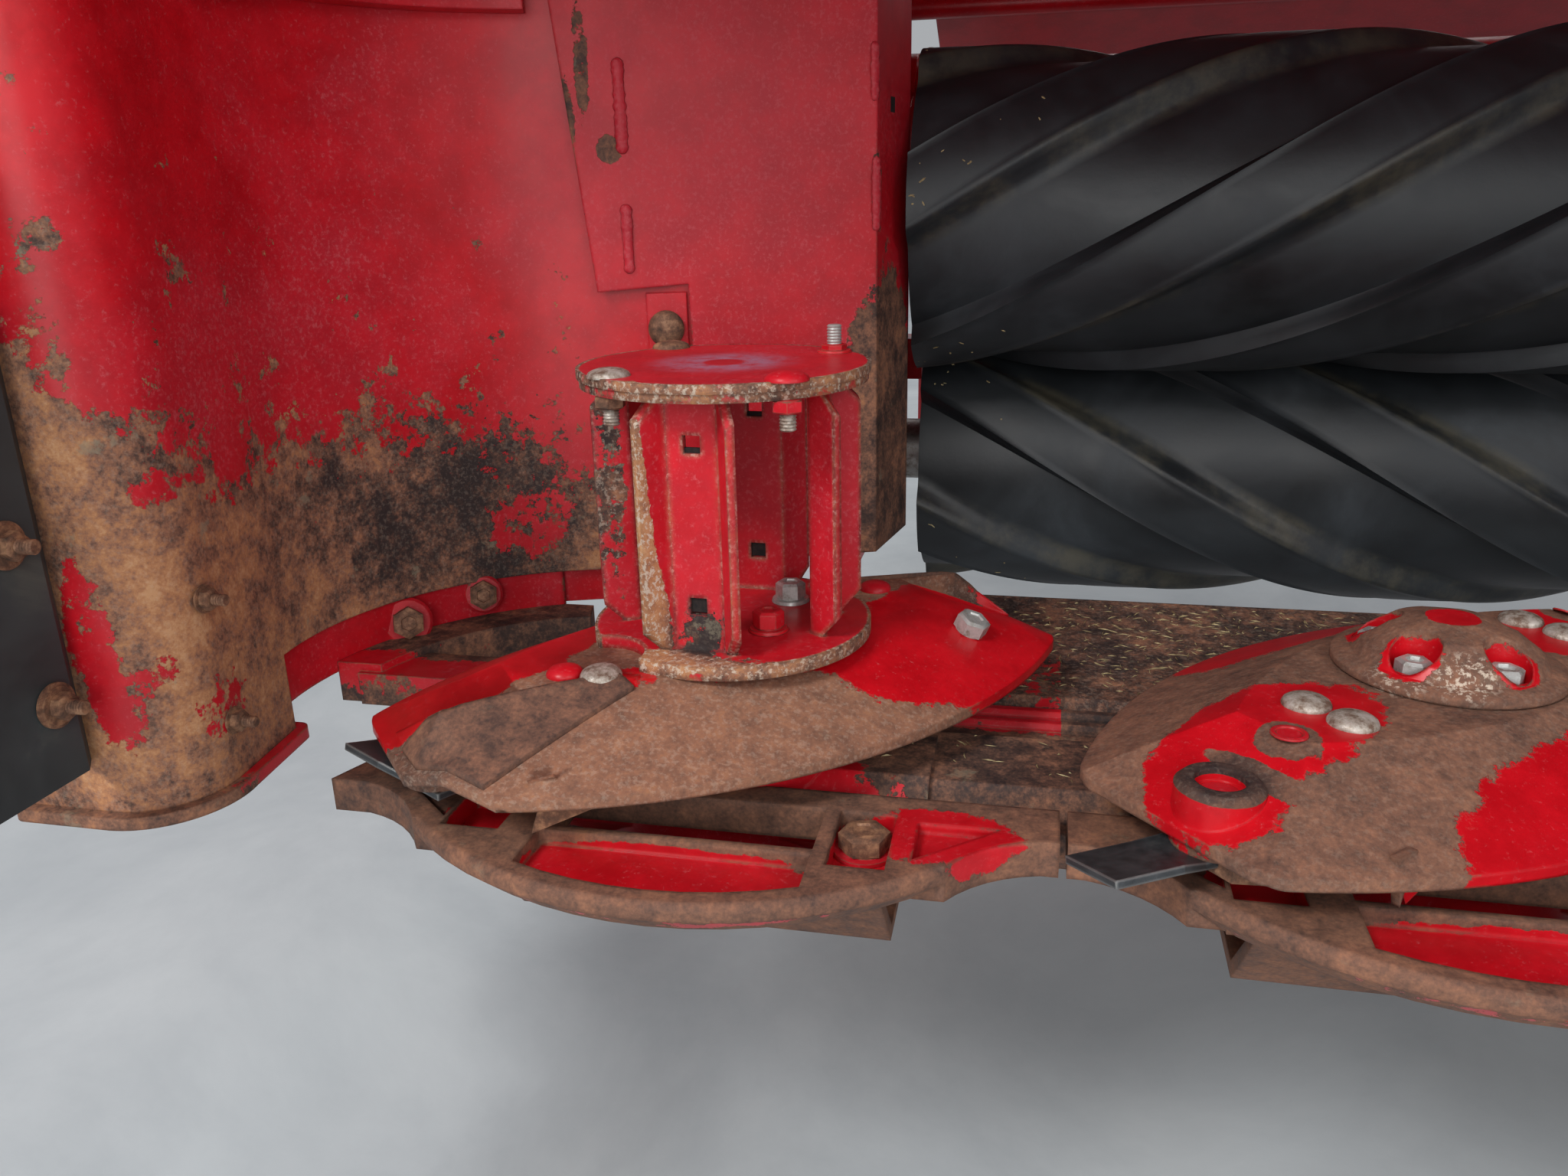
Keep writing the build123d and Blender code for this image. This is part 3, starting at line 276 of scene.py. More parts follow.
lichen = calculate(rust, "MULTIPLY", calculate(rust, "MULTIPLY", lichen, given["Patchy"]), 0.5)
feed(rust, result, {
    "Color": mixed(rust, lichen, brown, LICHEN),
    "Roughness": step_between(rust, mottle, 0.3, 0.7, 0.62, 0.90),
    "Height": calculate(rust, "MULTIPLY_ADD", grain, 0.35, calculate(rust, "MULTIPLY", mottle, 0.65)),
})

red_paint, given, result = shader_group(
    "red_paint",
    [("Vector", "v", None), ("Fade", "f", 0.3), ("Mauve", "f", 0.0)],
    [("Color", "c"), ("Roughness", "f")],
)
cloud = noise(red_paint, given["Vector"], 5, 9, 0.72, 0.4)
haze = step_between(red_paint, calculate(red_paint, "MULTIPLY_ADD", cloud, 1.5, given["Fade"]), 0.78, 1.60)
speck = noise(red_paint, given["Vector"], 330, 6, 0.75)
chalk = step_between(red_paint, calculate(red_paint, "MULTIPLY_ADD", haze, 0.12, speck), 0.57, 0.74)
tone = step_between(red_paint, noise(red_paint, given["Vector"], 24, 7, 0.7), 0.32, 0.68)
coat = mixed(red_paint, tone, DEEP_RED, CLEAR_RED)
for share, colour in ((haze, HAZY_RED), (chalk, CHALKY_RED)):
    coat = mixed(red_paint, calculate(red_paint, "MULTIPLY", share, 0.42), coat, colour)
bloom = step_between(red_paint, noise(red_paint, given["Vector"], 60, 8, 0.75), 0.30, 0.62)
bloom = calculate(red_paint, "MULTIPLY", bloom, given["Mauve"])
dull = step_between(red_paint, haze, 0.0, 1.0, 0.32, 0.50)
feed(red_paint, result, {
    "Color": mixed(red_paint, bloom, coat, MAUVE_BLOOM),
    "Roughness": calculate(red_paint, "MULTIPLY_ADD", chalk, 0.2, dull),
})

edges, given, result = shader_group(
    "edges",
    [("Radius", "f", 0.002), ("Reach", "f", 0.22)],
    [("Mask", "f"), ("Normal", "v")],
)
rounded = add_node(edges, "ShaderNodeBevel", {"Radius": given["Radius"]}, samples=4).outputs[0]
flat_normal = add_node(edges, "ShaderNodeNewGeometry").outputs["Normal"]
turned = of_vectors(edges, "DOT_PRODUCT", rounded, flat_normal, "Value")
mask = step_between(edges, calculate(edges, "SUBTRACT", 1.0, turned), 0.01, given["Reach"])
feed(edges, result, {"Mask": mask, "Normal": rounded})

patch, given, result = shader_group(
    "patch",
    [("Vector", "v", None), ("Centre", "v", (0, 0, 0)), ("Size", "v", (1, 1, 1)), ("Amount", "f", 1.0)],
    [("Level", "f")],
)
away = of_vectors(patch, "SUBTRACT", given["Vector"], given["Centre"])
away = of_vectors(patch, "LENGTH", of_vectors(patch, "DIVIDE", away, given["Size"]), output="Value")
inside = step_between(patch, away, 0.45, 1.25, 1.0, 0.0)
feed(patch, result, {"Level": calculate(patch, "MULTIPLY", inside, given["Amount"])})

chips, given, result = shader_group(
    "chips",
    [("Vector", "v", None), ("Level", "f", 0.2), ("Coarse", "f", 1.3), ("Fine", "f", 1.2)],
    [("Bare", "f"), ("Rim", "f")],
)
coarse = swing(chips, noise(chips, given["Vector"], 26, 10, 0.74))
small = swing(chips, noise(chips, moved(chips, given["Vector"], (7, 7, 7)), 95, 9, 0.74))
field = calculate(chips, "MULTIPLY_ADD", coarse, given["Coarse"], given["Level"])
field = calculate(chips, "MULTIPLY_ADD", small, given["Fine"], field)
near = step_between(chips, field, 0.43, 0.485)
still_on = step_between(chips, field, 0.485, 0.505, 1.0, 0.0)
feed(chips, result, {
    "Bare": step_between(chips, field, 0.49, 0.51),
    "Rim": calculate(chips, "MULTIPLY", near, still_on),
})


def grouped(tree, group, inputs):
    """Places a node group in a material with its own values."""
    return add_node(tree, "ShaderNodeGroup", inputs, node_tree=group).outputs


def from_disc(tree, place, sideways):
    """Coordinates from a disc's centre at its hub's top; sideways makes the new x from the old one."""
    x, y, z = add_node(tree, "ShaderNodeSeparateXYZ", {"Vector": place}).outputs
    y = calculate(tree, "SUBTRACT", y, joint_at["disc_1"].y)
    z = calculate(tree, "SUBTRACT", z, DISC_TOP)
    return add_node(tree, "ShaderNodeCombineXYZ", {0: sideways(x), 1: y, 2: z}).outputs[0]


def mirrored(tree, place):
    """Coordinates that are the same at both ends of the header, measured from the end disc outward."""
    def sideways(x):
        return calculate(tree, "SUBTRACT", calculate(tree, "ABSOLUTE", x), END_DISC_X)
    return from_disc(tree, place, sideways)


def at_each_disc(tree, place):
    """Coordinates from the nearest disc's centre, so that one set of patches serves all six places."""
    def sideways(x):
        from_first = calculate(tree, "SUBTRACT", x, joint_at["disc_1"].x)
        return calculate(tree, "WRAP", from_first, PITCH / 2, -PITCH / 2)
    return from_disc(tree, place, sideways)


def worn_red(name, level=0.1, patches=(), edge=0.45, edge_radius=0.002, fade=0.3, dark=0.3, ochre=0.4,
             patchy=0.6, pale=0.0, coarse=1.3, fine=1.2, local=None, fades=(), mauves=(), darks=(),
             pales=(), wear=None):
    """Red paint over rust. Patches and wear, in local coordinates, add to the level at which the paint
    is gone, fades and mauves to the bloom on the paint, and darks and pales to the rust."""
    material, tree, surface, place = new_material(name)
    spot_place = local(tree, place) if local else place
    edge_mask = grouped(tree, edges, {"Radius": edge_radius})

    def summed(total, spots):
        for centre, size, amount in spots:
            spot = {"Vector": spot_place, "Centre": centre, "Size": size, "Amount": amount}
            total = calculate(tree, "ADD", total, grouped(tree, patch, spot)["Level"])
        return total

    loss = summed(calculate(tree, "MULTIPLY_ADD", edge_mask["Mask"], edge, level), patches)
    if wear:
        loss = calculate(tree, "ADD", loss, wear(tree, spot_place))
    chipped = grouped(tree, chips, {"Vector": place, "Level": loss, "Coarse": coarse, "Fine": fine})
    bare = grouped(tree, rust, {"Vector": place, "Dark": summed(dark, darks), "Ochre": ochre,
                                "Patchy": patchy, "Pale": summed(pale, pales)})
    paint = grouped(tree, red_paint, {"Vector": place, "Fade": summed(fade, fades),
                                      "Mauve": summed(0.0, mauves)})
    rimmed = mixed(tree, calculate(tree, "MULTIPLY", chipped["Rim"], 0.22), paint["Color"], CHIP_RIM)
    rough = {0: chipped["Bare"], 2: paint["Roughness"], 3: bare["Roughness"]}
    relief = calculate(tree, "MULTIPLY", bare["Height"], chipped["Bare"])
    relief = calculate(tree, "MULTIPLY_ADD", relief, 0.9, calculate(tree, "SUBTRACT", 1.0, chipped["Bare"]))
    bump = {"Height": relief, "Normal": edge_mask["Normal"], "Distance": 0.0006, "Strength": 0.85}
    feed(tree, surface, {
        "Base Color": mixed(tree, chipped["Bare"], rimmed, bare["Color"]),
        "Roughness": add_node(tree, "ShaderNodeMix", rough).outputs[0],
        "Specular IOR Level": 0.3,
        "Normal": add_node(tree, "ShaderNodeBump", bump).outputs[0],
    })
    return material


def dress(material, *names):
    """Gives CAD nodes one material."""
    for name in names:
        nodes[name].data.materials.clear()
        nodes[name].data.materials.append(material)


dress(worn_red("cutterbar_paint", level=0.80, patches=BAR_REDS, dark=0.50, ochre=0.34, patchy=0.7,
               local=at_each_disc), "cutterbar")


# The ledge is a sheet behind the discs that carries the crop over to the rolls. It is worn to brown
# steel with rests of faded red, and straw, seeds and dust lie on it and on the gear case before it.
LEDGE_REDS = [((0.2, 0.13, -0.067), (0.16, 0.11, 0.05), -0.24)]
LEDGE_END = 0.02
COLLAR_REACH = 0.075
STRAW_COUNT = 4200
STRAW_LENGTH = (0.002, 0.011)
STRAW_THICK = (0.00025, 0.0006)
STRAW_LIFT = 0.0002
STRAW_STOPS = ((0.35, 0.16, 0.11, 0.045), (0.6, 0.42, 0.34, 0.17))
STRAW_STRIPS = (
    # the piece they lie on, lowest y and highest y from the disc centres, share of the straws
    ("ledge", 0.092, 0.272, 0.86),
    ("cutterbar", -0.060, 0.012, 0.14),
)
UP = Vector((0, 0, 1))
DOWN = -UP


def surface_of(mesh):
    """Lets straws and bolts find the surface of a mesh that they lie on."""
    points = [vert.co.copy() for vert in mesh.vertices]
    return BVHTree.FromPolygons(points, [tuple(face.vertices) for face in mesh.polygons])


def sliver(mesh, at, heading, length, thick):
    """A sliver of straw with three sides, pointed at both ends."""
    along = Vector((math.cos(heading), math.sin(heading), 0))
    across = Vector((-along.y, along.x, 0))
    offsets = (across * thick, -across * thick, Vector((0, 0, thick * 1.6)))
    ring = [mesh.verts.new(at + across * thick + offset) for offset in offsets]
    for sign in (-1, 1):
        tip = mesh.verts.new(at + along * sign * length / 2)
        for i in range(3):
            mesh.faces.new((ring[i], ring[(i + 1) % 3], tip))


def add_piece(name, mesh, materials, body, sharp=38):
    """Makes an object of a built mesh, dresses it, and lets it ride on a body."""
    bmesh.ops.recalc_face_normals(mesh, faces=mesh.faces)
    data = bpy.data.meshes.new(name)
    mesh.to_mesh(data)
    mesh.free()
    for material in materials:
        data.materials.append(material)
    data.shade_smooth()
    data.set_sharp_from_angle(angle=math.radians(sharp))
    piece = bpy.data.objects.new(name, data)
    scene.collection.objects.link(piece)
    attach(piece, body)
    return piece


dress(worn_red("ledge_rust", level=0.80, patches=LEDGE_REDS, dark=0.62, ochre=0.36, patchy=0.9,
               coarse=0.9, fine=1.1, pale=0.15, local=at_each_disc), "ledge")
straw, tree, surface, place = new_material("straw")
feed(tree, surface, {"Base Color": ramp(tree, noise(tree, place, 90), STRAW_STOPS), "Roughness": 0.7})
low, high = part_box("ledge")
dice = random.Random(7)
chaff = bmesh.new()
for carrier, nearest, farthest, share in STRAW_STRIPS:
    skin = surface_of(nodes[carrier].data)
    for _ in range(int(STRAW_COUNT * share)):
        x = dice.uniform(low[0] + LEDGE_END, high[0] - LEDGE_END)
        beside_disc = (x - joint_at["disc_1"].x + PITCH / 2) % PITCH - PITCH / 2
        if carrier == "cutterbar" and abs(beside_disc) < COLLAR_REACH:
            continue
        y = joint_at["disc_1"].y + dice.uniform(nearest, farthest)
        at = skin.ray_cast(Vector((x, y, 0)), DOWN)[0] + UP * STRAW_LIFT
        heading, length = dice.uniform(0, math.pi), dice.uniform(*STRAW_LENGTH)
        sliver(chaff, at, heading, length, dice.uniform(*STRAW_THICK))
add_piece("chaff_on_ledge", chaff, [straw], "frame")


# The rock guards are forged skid noses, bolted under the bar in front of each disc. Their rims ride on
# the ground, so the rim is brown steel and the sunken pans keep their faded red paint.
GUARD_BOLT_AT = Vector((0.099, -0.122, -0.074))
GUARD_WASHER_THICK = 0.0025
POCKET_FLOOR = ((-0.126, -0.156), (-0.089, -0.156), (-0.089, -0.110), (-0.126, -0.110))
POCKET_FLOOR_HEIGHTS = (-0.079, -0.075)
GUARD_REDS = [
    ((0.003, -0.170, -0.072), (0.092, 0.036, 0.010), -0.98),
    ((-0.107, -0.133, -0.073), (0.030, 0.032, 0.014), -1.10),
    ((0.099, -0.131, -0.074), (0.026, 0.036, 0.012), -0.80),
    ((0.138, -0.122, -0.064), (0.046, 0.030, 0.016), -0.85),
    ((0.099, -0.152, -0.070), (0.020, 0.010, 0.012), -0.40),
]
THREAD_PITCH = 0.00175
ZINC_STOPS = ((0.30, 0.20, 0.17, 0.13), (0.45, 0.42, 0.42, 0.40), (0.70, 0.58, 0.59, 0.57))
RUSTY_STOPS = ((0.32, 0.045, 0.026, 0.018), (0.5, 0.16, 0.075, 0.042), (0.68, 0.36, 0.19, 0.10))
RUBBED_STOPS = ((0.38, 0.16, 0.10, 0.07), (0.50, 0.34, 0.29, 0.24), (0.64, 0.52, 0.48, 0.43))


def spun(mesh, outline, place, sides=24, slot=0):
    """Turns an outline of (radius, height) round the local z axis; six sides make a hexagon."""
    rings = []
    for radius, height in outline:
        turns = [2 * math.pi * i / sides for i in range(sides if radius else 1)]
        points = [Vector((radius * math.cos(turn), radius * math.sin(turn), height)) for turn in turns]
        rings.append([mesh.verts.new(place @ point) for point in points])
    for below, above in zip(rings, rings[1:]):
        for i in range(sides):
            j = (i + 1) % sides
            corners = [below[i % len(below)], below[j % len(below)],
                       above[j % len(above)], above[i % len(above)]]
            mesh.faces.new(list(dict.fromkeys(corners))).material_index = slot


def washer(mesh, place, radius, thick, slot, sides=24, top=None):
    """A flat washer or plug, square where it has four sides, with a top that may be a little smaller."""
    spun(mesh, ((0, 0), (radius, 0), (top or radius, thick), (0, thick)), place, sides, slot)


def facing(at, direction, turn=0.0):
    """A place whose z axis points in a direction, turned about it by an angle in degrees."""
    pointed = Vector(direction).to_track_quat("Z", "Y").to_matrix().to_4x4()
    return Matrix.Translation(at) @ pointed @ Matrix.Rotation(math.radians(turn), 4, "Z")


def raised(place, height):
    """The same place, moved out along its own z axis."""
    return place @ Matrix.Translation((0, 0, height))


def hex_head(mesh, place, half_width, height, slot, dish=0.25):
    """A hexagon head or nut with its corners turned off, on a washer face."""
    corner = half_width / math.cos(math.pi / 6)
    seat_height = height * 0.08
    shoulder, top, sunk = height * 0.80, height * 0.95, height * (0.95 - dish * 0.4)
    washer(mesh, place, half_width, seat_height, slot)
    outline = ((0, 0), (corner, 0), (corner, shoulder), (half_width * 0.93, top),
               (half_width * 0.60, top), (half_width * 0.52, sunk), (0, sunk))
    spun(mesh, outline, raised(place, seat_height), 6, slot)


def carriage_head(mesh, place, radius, height, slot):
    """A low round bolt head."""
    outline = [(0, 0), (radius, 0), (radius, height * 0.2)]
    outline += [(radius * math.cos(a), height * (0.2 + 0.8 * math.sin(a))) for a in (0.4, 0.75, 1.05, 1.3)]
    spun(mesh, outline + [(0, height)], place, 28, slot)


def stud(mesh, place, radius, length, slot):
    """A threaded end with its grooves."""
    outline = [(0, 0)]
    for i in range(int(length / THREAD_PITCH)):
        outline += [(radius * 0.86, i * THREAD_PITCH), (radius, (i + 0.5) * THREAD_PITCH)]
    top = int(length / THREAD_PITCH) * THREAD_PITCH
    spun(mesh, outline + [(radius * 0.8, top), (0, top)], place, 16, slot)


def slab(mesh, front, back, slot=0):
    """A flat plate between two outlines that match."""
    front, back = ([mesh.verts.new(corner) for corner in outline] for outline in (front, back))
    following = (front[1:] + front[:1], back[1:] + back[:1])
    for face in (front, back[::-1], *zip(front, back, following[1], following[0])):
        mesh.faces.new(face).material_index = slot


def bare_steel(name, stops, metallic, rough, scale=130):
    """Plated or rusty steel whose colour and gloss change in small spots."""
    material, tree, surface, place = new_material(name)
    spots = noise(tree, place, scale, 6, 0.7)
    pits = {"Height": noise(tree, place, 900, 2), "Distance": 0.0002, "Strength": 0.5}
    feed(tree, surface, {
        "Base Color": ramp(tree, spots, stops),
        "Metallic": metallic,
        "Roughness": step_between(tree, spots, 0.35, 0.65, *rough),
        "Normal": add_node(tree, "ShaderNodeBump", pits).outputs[0],
    })
    return material


zinc = bare_steel("zinc", ZINC_STOPS, 0.55, (0.55, 0.32))
rusty = bare_steel("rusty_steel", RUSTY_STOPS, 0.1, (0.85, 0.65))
red_bolt = worn_red("painted_bolt", level=0.24, edge=0.5, edge_radius=0.001, dark=0.40)
rubbed = bare_steel("rubbed_bolt", RUBBED_STOPS, 0.35, (0.62, 0.42), 160)
FASTENER = [zinc, rusty, red_bolt, rubbed]
ZINC, RUSTY, PAINTED, RUBBED = range(len(FASTENER))
disc_names = sorted(name for name in joint_at if name.startswith("disc_"))

guard_paint = worn_red("guard_paint", level=0.82, patches=GUARD_REDS, dark=0.36, ochre=0.36, patchy=0.32,
                       edge=0.4, edge_radius=0.004, coarse=0.9, fine=1.15, fade=0.12, local=at_each_disc)
dress(guard_paint, "rock_guards")
bolts, floors = bmesh.new(), bmesh.new()
for name in disc_names:
    place = facing(joint_at[name] + GUARD_BOLT_AT, UP, 12)
    washer(bolts, place, 0.0165, GUARD_WASHER_THICK, PAINTED, 28)
    hex_head(bolts, raised(place, GUARD_WASHER_THICK), 0.0118, 0.0105, RUSTY)
    low_side, top_side = ([joint_at[name] + Vector((x, y, z)) for x, y in POCKET_FLOOR]
                          for z in POCKET_FLOOR_HEIGHTS)
    slab(floors, low_side, top_side)
add_piece("guard_bolts", bolts, FASTENER, "frame")
add_piece("guard_pocket_floors", floors, [guard_paint], "frame")


# The discs are pressed and forged blunt ovals that carry two free-swinging knives each. Crop and soil
# polish them down to fine brown rust, and red paint stays where the crop doesn't rub. The end discs
# have one corner of each end cut away beside the wedge, so a copy of the pressing stands for them.
DISC_ANGLE = math.radians(222)
ABOVE_DISC = 0.1
WELD = 1e-6
CUT_CORNER = ((0.206, 0.034), (0.180, 0.076))
POCKET_ANGLES = [math.radians(6 + 360 / 5 * pocket) for pocket in range(5)]
CAP_BOLT_AT = 0.036
CAP_BOLT_SEAT = 0.0043
CAP_LIP = (
    (0.046, 0.0085), (0.0560, 0.0060), (0.0580, 0.0045), (0.0580, 0.0012),
    (0.0560, 0.0006), (0.0560, -0.0050), (0.046, -0.0050), (0.046, 0.0085),
)
BOSS_BOLT_AT = (0.186, 0.010, -0.0225)
BOSS_BOLT = ((0, 0), (0.0105, 0), (0.0098, 0.0045), (0.004, 0.0058), (0, 0.0058))
DISC_HOLE_AT = (0.140, 0.010)
DISC_HOLE = ((0, 0), (0.0090, 0), (0.0088, 0.0010), (0.0066, 0.0012), (0.0060, 0.0003), (0, 0.0003))
PIN_NUT_AT = (0.183, 0.024, -0.0525)
PIN_NUT = ((0, 0), (0.016, 0), (0.017, 0.002), (0.016, 0.0085), (0, 0.0085))
END_HEX_AT = (0.139, -0.055)
HEAD_SINK = 0.0004
HEAD_HEIGHT = 0.0062
# place along and across the disc, radius and finish of the round heads
END_HEADS = ((0.114, 0.014, 0.0105, PAINTED), (0.099, 0.031, 0.0118, RUBBED))
INNER_HEADS = ((0.104, -0.008, 0.0122, RUBBED), (0.104, 0.0185, 0.0122, RUBBED))
END_FIN = ((0.160, 0.080, -0.053), (0.157, 0.087, -0.035), (0.124, 0.103, -0.034))
INNER_FIN = ((0.143, 0.080, -0.053), (0.157, 0.083, -0.035), (0.146, 0.090, -0.035))
FIN_THICK = 0.003
WEDGE_PLATES = (
    ((0.186, 0.020), (0.180, 0.071), (0.088, 0.051), (0.091, 0.038), (0.122, 0.029)),
    ((0.186, 0.020), (0.192, 0.010), (0.2045, 0.004), (0.2035, 0.030), (0.180, 0.071)),
)
WEDGE_THICK = 0.0028
WEDGE_SINK = 0.001
DISC_WEAR = {"level": 0.98, "fade": 0.02, "patchy": 0.22, "edge": 0.2, "coarse": 1.0, "fine": 1.1}
HUB_REDS = [
    ((0.138, -0.004, -0.01), (0.086, 0.044, 0.05), -1.10),
    ((0.190, 0.014, -0.01), (0.034, 0.040, 0.05), -0.60),
    ((0.035, 0.118, -0.02), (0.130, 0.052, 0.05), -1.15),
    ((0.0, 0.0, 0.029), (0.0135, 0.0135, 0.006), -0.95),
    ((0.186, 0.010, -0.0115), (0.034, 0.034, 0.0045), 2.20),
    ((0.140, 0.010, -0.012), (0.018, 0.018, 0.03), 1.40),
]
POCKET_REDS = [
    ((0.035 * math.cos(angle), 0.035 * math.sin(angle), 0.010), (0.0195, 0.0195, 0.019), -0.85)
    for angle in POCKET_ANGLES
]
CAP_PALES = [
    ((0.034, 0.031, 0.012), (0.017, 0.015, 0.013), 1.2),
    ((0.050, 0.006, 0.006), (0.010, 0.016, 0.012), 0.9),
]
HUB_DARKS = [((0.186, 0.010, -0.010), (0.026, 0.026, 0.012), 0.55)]
WEDGED_REDS = [
    ((-0.130, 0.075, -0.02), (0.120, 0.055, 0.05), -1.05),
    ((0.160, -0.040, -0.01), (0.095, 0.056, 0.04), -1.20),
    ((0.080, -0.076, 0.0), (0.055, 0.036, 0.04), -0.70),
    ((-0.02, 0.055, 0.0), (0.085, 0.022, 0.03), -0.60),
    ((0.085, 0.038, 0.0), (0.020, 0.022, 0.03), -0.50),
    ((-0.165, 0.030, 0.0), (0.060, 0.040, 0.03), -0.75),
]
WEDGED_DARKS = [((0.205, 0.02, -0.02), (0.03, 0.05, 0.03), 0.35)]


def both_halves(spots, flip):
    """Adds each patch again on the far half of a disc, half a turn round."""
    return [((sign * x, sign * flip * y, z), size, amount)
            for (x, y, z), size, amount in spots for sign in (1, -1)]


def on_disc(name):
    """Returns a function that gives coordinates along and across a disc, from its centre at the hub's top."""
    def local(tree, place):
        inputs = {"Vector": moved(tree, place, -joint_at[name]), "Angle": -DISC_ANGLE}
        return add_node(tree, "ShaderNodeVectorRotate", inputs, rotation_type="Z_AXIS").outputs[0]
    return local


def on_half(name, half_turn=0):
    """The place of one half of a disc, with its x axis along the disc and its origin at the hub's top."""
    return Matrix.Translation(joint_at[name]) @ Matrix.Rotation(DISC_ANGLE + math.pi * half_turn, 4, "Z")


def seat(skin, half, along, across, sink=0.0):
    """A place on the surface under a point of a disc, facing out of it."""
    point, normal = skin.ray_cast(half @ Vector((along, across, ABOVE_DISC)), DOWN)[:2]
    return facing(point - normal * sink, normal)


def cut_pressing(name, flip):
    """A copy of an end disc's mesh, with one corner of each end cut away."""
    pressing = bmesh.new()
    pressing.from_mesh(nodes[name].data)
    bmesh.ops.remove_doubles(pressing, verts=pressing.verts, dist=WELD)
    for half_turn in (0, 1):
        half = on_half(name, half_turn)
        start, end = (half @ Vector((x, flip * y, 0)) for x, y in CUT_CORNER)
        bmesh.ops.bisect_plane(pressing, geom=pressing.verts[:] + pressing.edges[:] + pressing.faces[:],
                               dist=WELD, plane_co=start, plane_no=(end - start).cross(UP) * flip,
                               clear_outer=True)
        bmesh.ops.holes_fill(pressing, edges=[edge for edge in pressing.edges if edge.is_boundary], sides=0)
    return pressing


def draped_plate(mesh, skin, half, outline):
    """A thin plate over a disc: the outline's fan of triangles is divided, laid on the surface and raised."""
    flat = bmesh.new()
    corners = [flat.verts.new((x, y, 0)) for x, y in outline]
    for i in range(1, len(corners) - 1):
        flat.faces.new((corners[0], corners[i], corners[i + 1]))
    bmesh.ops.subdivide_edges(flat, edges=flat.edges, cuts=5, use_grid_fill=True)
    low, high = {}, {}
    for vert in flat.verts:
        point = skin.ray_cast(half @ Vector((vert.co.x, vert.co.y, ABOVE_DISC)), DOWN)[0]
        low[vert] = mesh.verts.new(point - UP * WEDGE_SINK)
        high[vert] = mesh.verts.new(point + UP * WEDGE_THICK)
    for face in flat.faces:
        mesh.faces.new([high[vert] for vert in face.verts])
        mesh.faces.new([low[vert] for vert in reversed(face.verts)])
    for edge in flat.edges:
        if len(edge.link_faces) == 1:
            one, other = edge.verts
            mesh.faces.new((low[one], low[other], high[other], high[one]))
    flat.free()


wedge_steel = worn_red("wedge_steel", level=0.9, dark=0.46, ochre=0.38, patchy=0.35, edge=0.2,
                       edge_radius=0.003, fine=0.6)
for name in disc_names:
    ended = name in (disc_names[0], disc_names[-1])
    flip = -1 if name == disc_names[-1] else 1
    if ended:
        paint = worn_red(f"{name}_paint", patches=both_halves(WEDGED_REDS, flip), dark=0.28, ochre=0.44,
                         darks=both_halves(WEDGED_DARKS, flip), pale=0.20, local=on_disc(name), **DISC_WEAR)
        piece = add_piece(f"{name}_pressing", cut_pressing(name, flip), [paint], name, sharp=25)
        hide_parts(name)
        skin = surface_of(piece.data)
    else:
        paint = worn_red(f"{name}_paint", patches=both_halves(HUB_REDS, flip) + POCKET_REDS, dark=0.38,
                         ochre=0.38, darks=both_halves(HUB_DARKS, flip), pale=0.08, pales=CAP_PALES,
                         local=on_disc(name), **DISC_WEAR)
        dress(paint, name)
        skin = surface_of(nodes[name].data)
    bolts, fins = bmesh.new(), bmesh.new()
    for half_turn in (0, 1):
        half = on_half(name, half_turn)
        if not ended:
            spun(bolts, BOSS_BOLT, half @ facing(BOSS_BOLT_AT, UP), 24, PAINTED)
            spun(bolts, DISC_HOLE, seat(skin, half, *DISC_HOLE_AT), 20, PAINTED)
            spun(bolts, PIN_NUT, half @ facing(PIN_NUT_AT, UP), 7, RUSTY)
        elif half_turn:
            along, across = END_HEX_AT
            hex_head(bolts, seat(skin, half, along, across * flip), 0.0095, 0.010, ZINC)
        for along, across, radius, slot in END_HEADS if ended else INNER_HEADS:
            place = seat(skin, half, along, across * flip, HEAD_SINK)
            carriage_head(bolts, place, radius, HEAD_HEIGHT, slot)
        fin = [half @ Vector((x, flip * y, z)) for x, y, z in (END_FIN if ended else INNER_FIN)]
        sideways = (fin[1] - fin[0]).cross(fin[2] - fin[0]).normalized() * FIN_THICK / 2
        slab(fins, [corner + sideways for corner in fin], [corner - sideways for corner in fin])
        if ended:
            plates = bmesh.new()
            for outline in WEDGE_PLATES:
                draped_plate(plates, skin, half, [(x, flip * y) for x, y in outline])
            add_piece(f"{name}_wedge_{half_turn + 1}", plates, [wedge_steel], name, sharp=20)
    if not ended:
        for k, angle in enumerate(POCKET_ANGLES):
            at = (CAP_BOLT_AT * math.cos(angle), CAP_BOLT_AT * math.sin(angle), CAP_BOLT_SEAT)
            hex_head(bolts, on_half(name) @ facing(at, UP, 17 * k), 0.0080, 0.0095, ZINC, dish=0.5)
        lip = bmesh.new()
        spun(lip, CAP_LIP, on_half(name), 72)
        bmesh.ops.remove_doubles(lip, verts=lip.verts, dist=WELD)
        add_piece(f"{name}_cap_lip", lip, [paint], name)
    add_piece(f"{name}_bolts", bolts, FASTENER, name)
    add_piece(f"{name}_fins", fins, [rusty if ended else red_bolt], name)


# The knives are short flat blades of hardened dark steel, with a bright bevel where they cut. Each hangs
# loose on a pin at its disc's end, so that it swings back when it meets a stone.
KNIFE_STOPS = ((0.3, 0.030, 0.034, 0.038), (0.6, 0.075, 0.082, 0.088), (0.8, 0.14, 0.13, 0.12))
BEVEL = (0.34, 0.34, 0.33, 1)

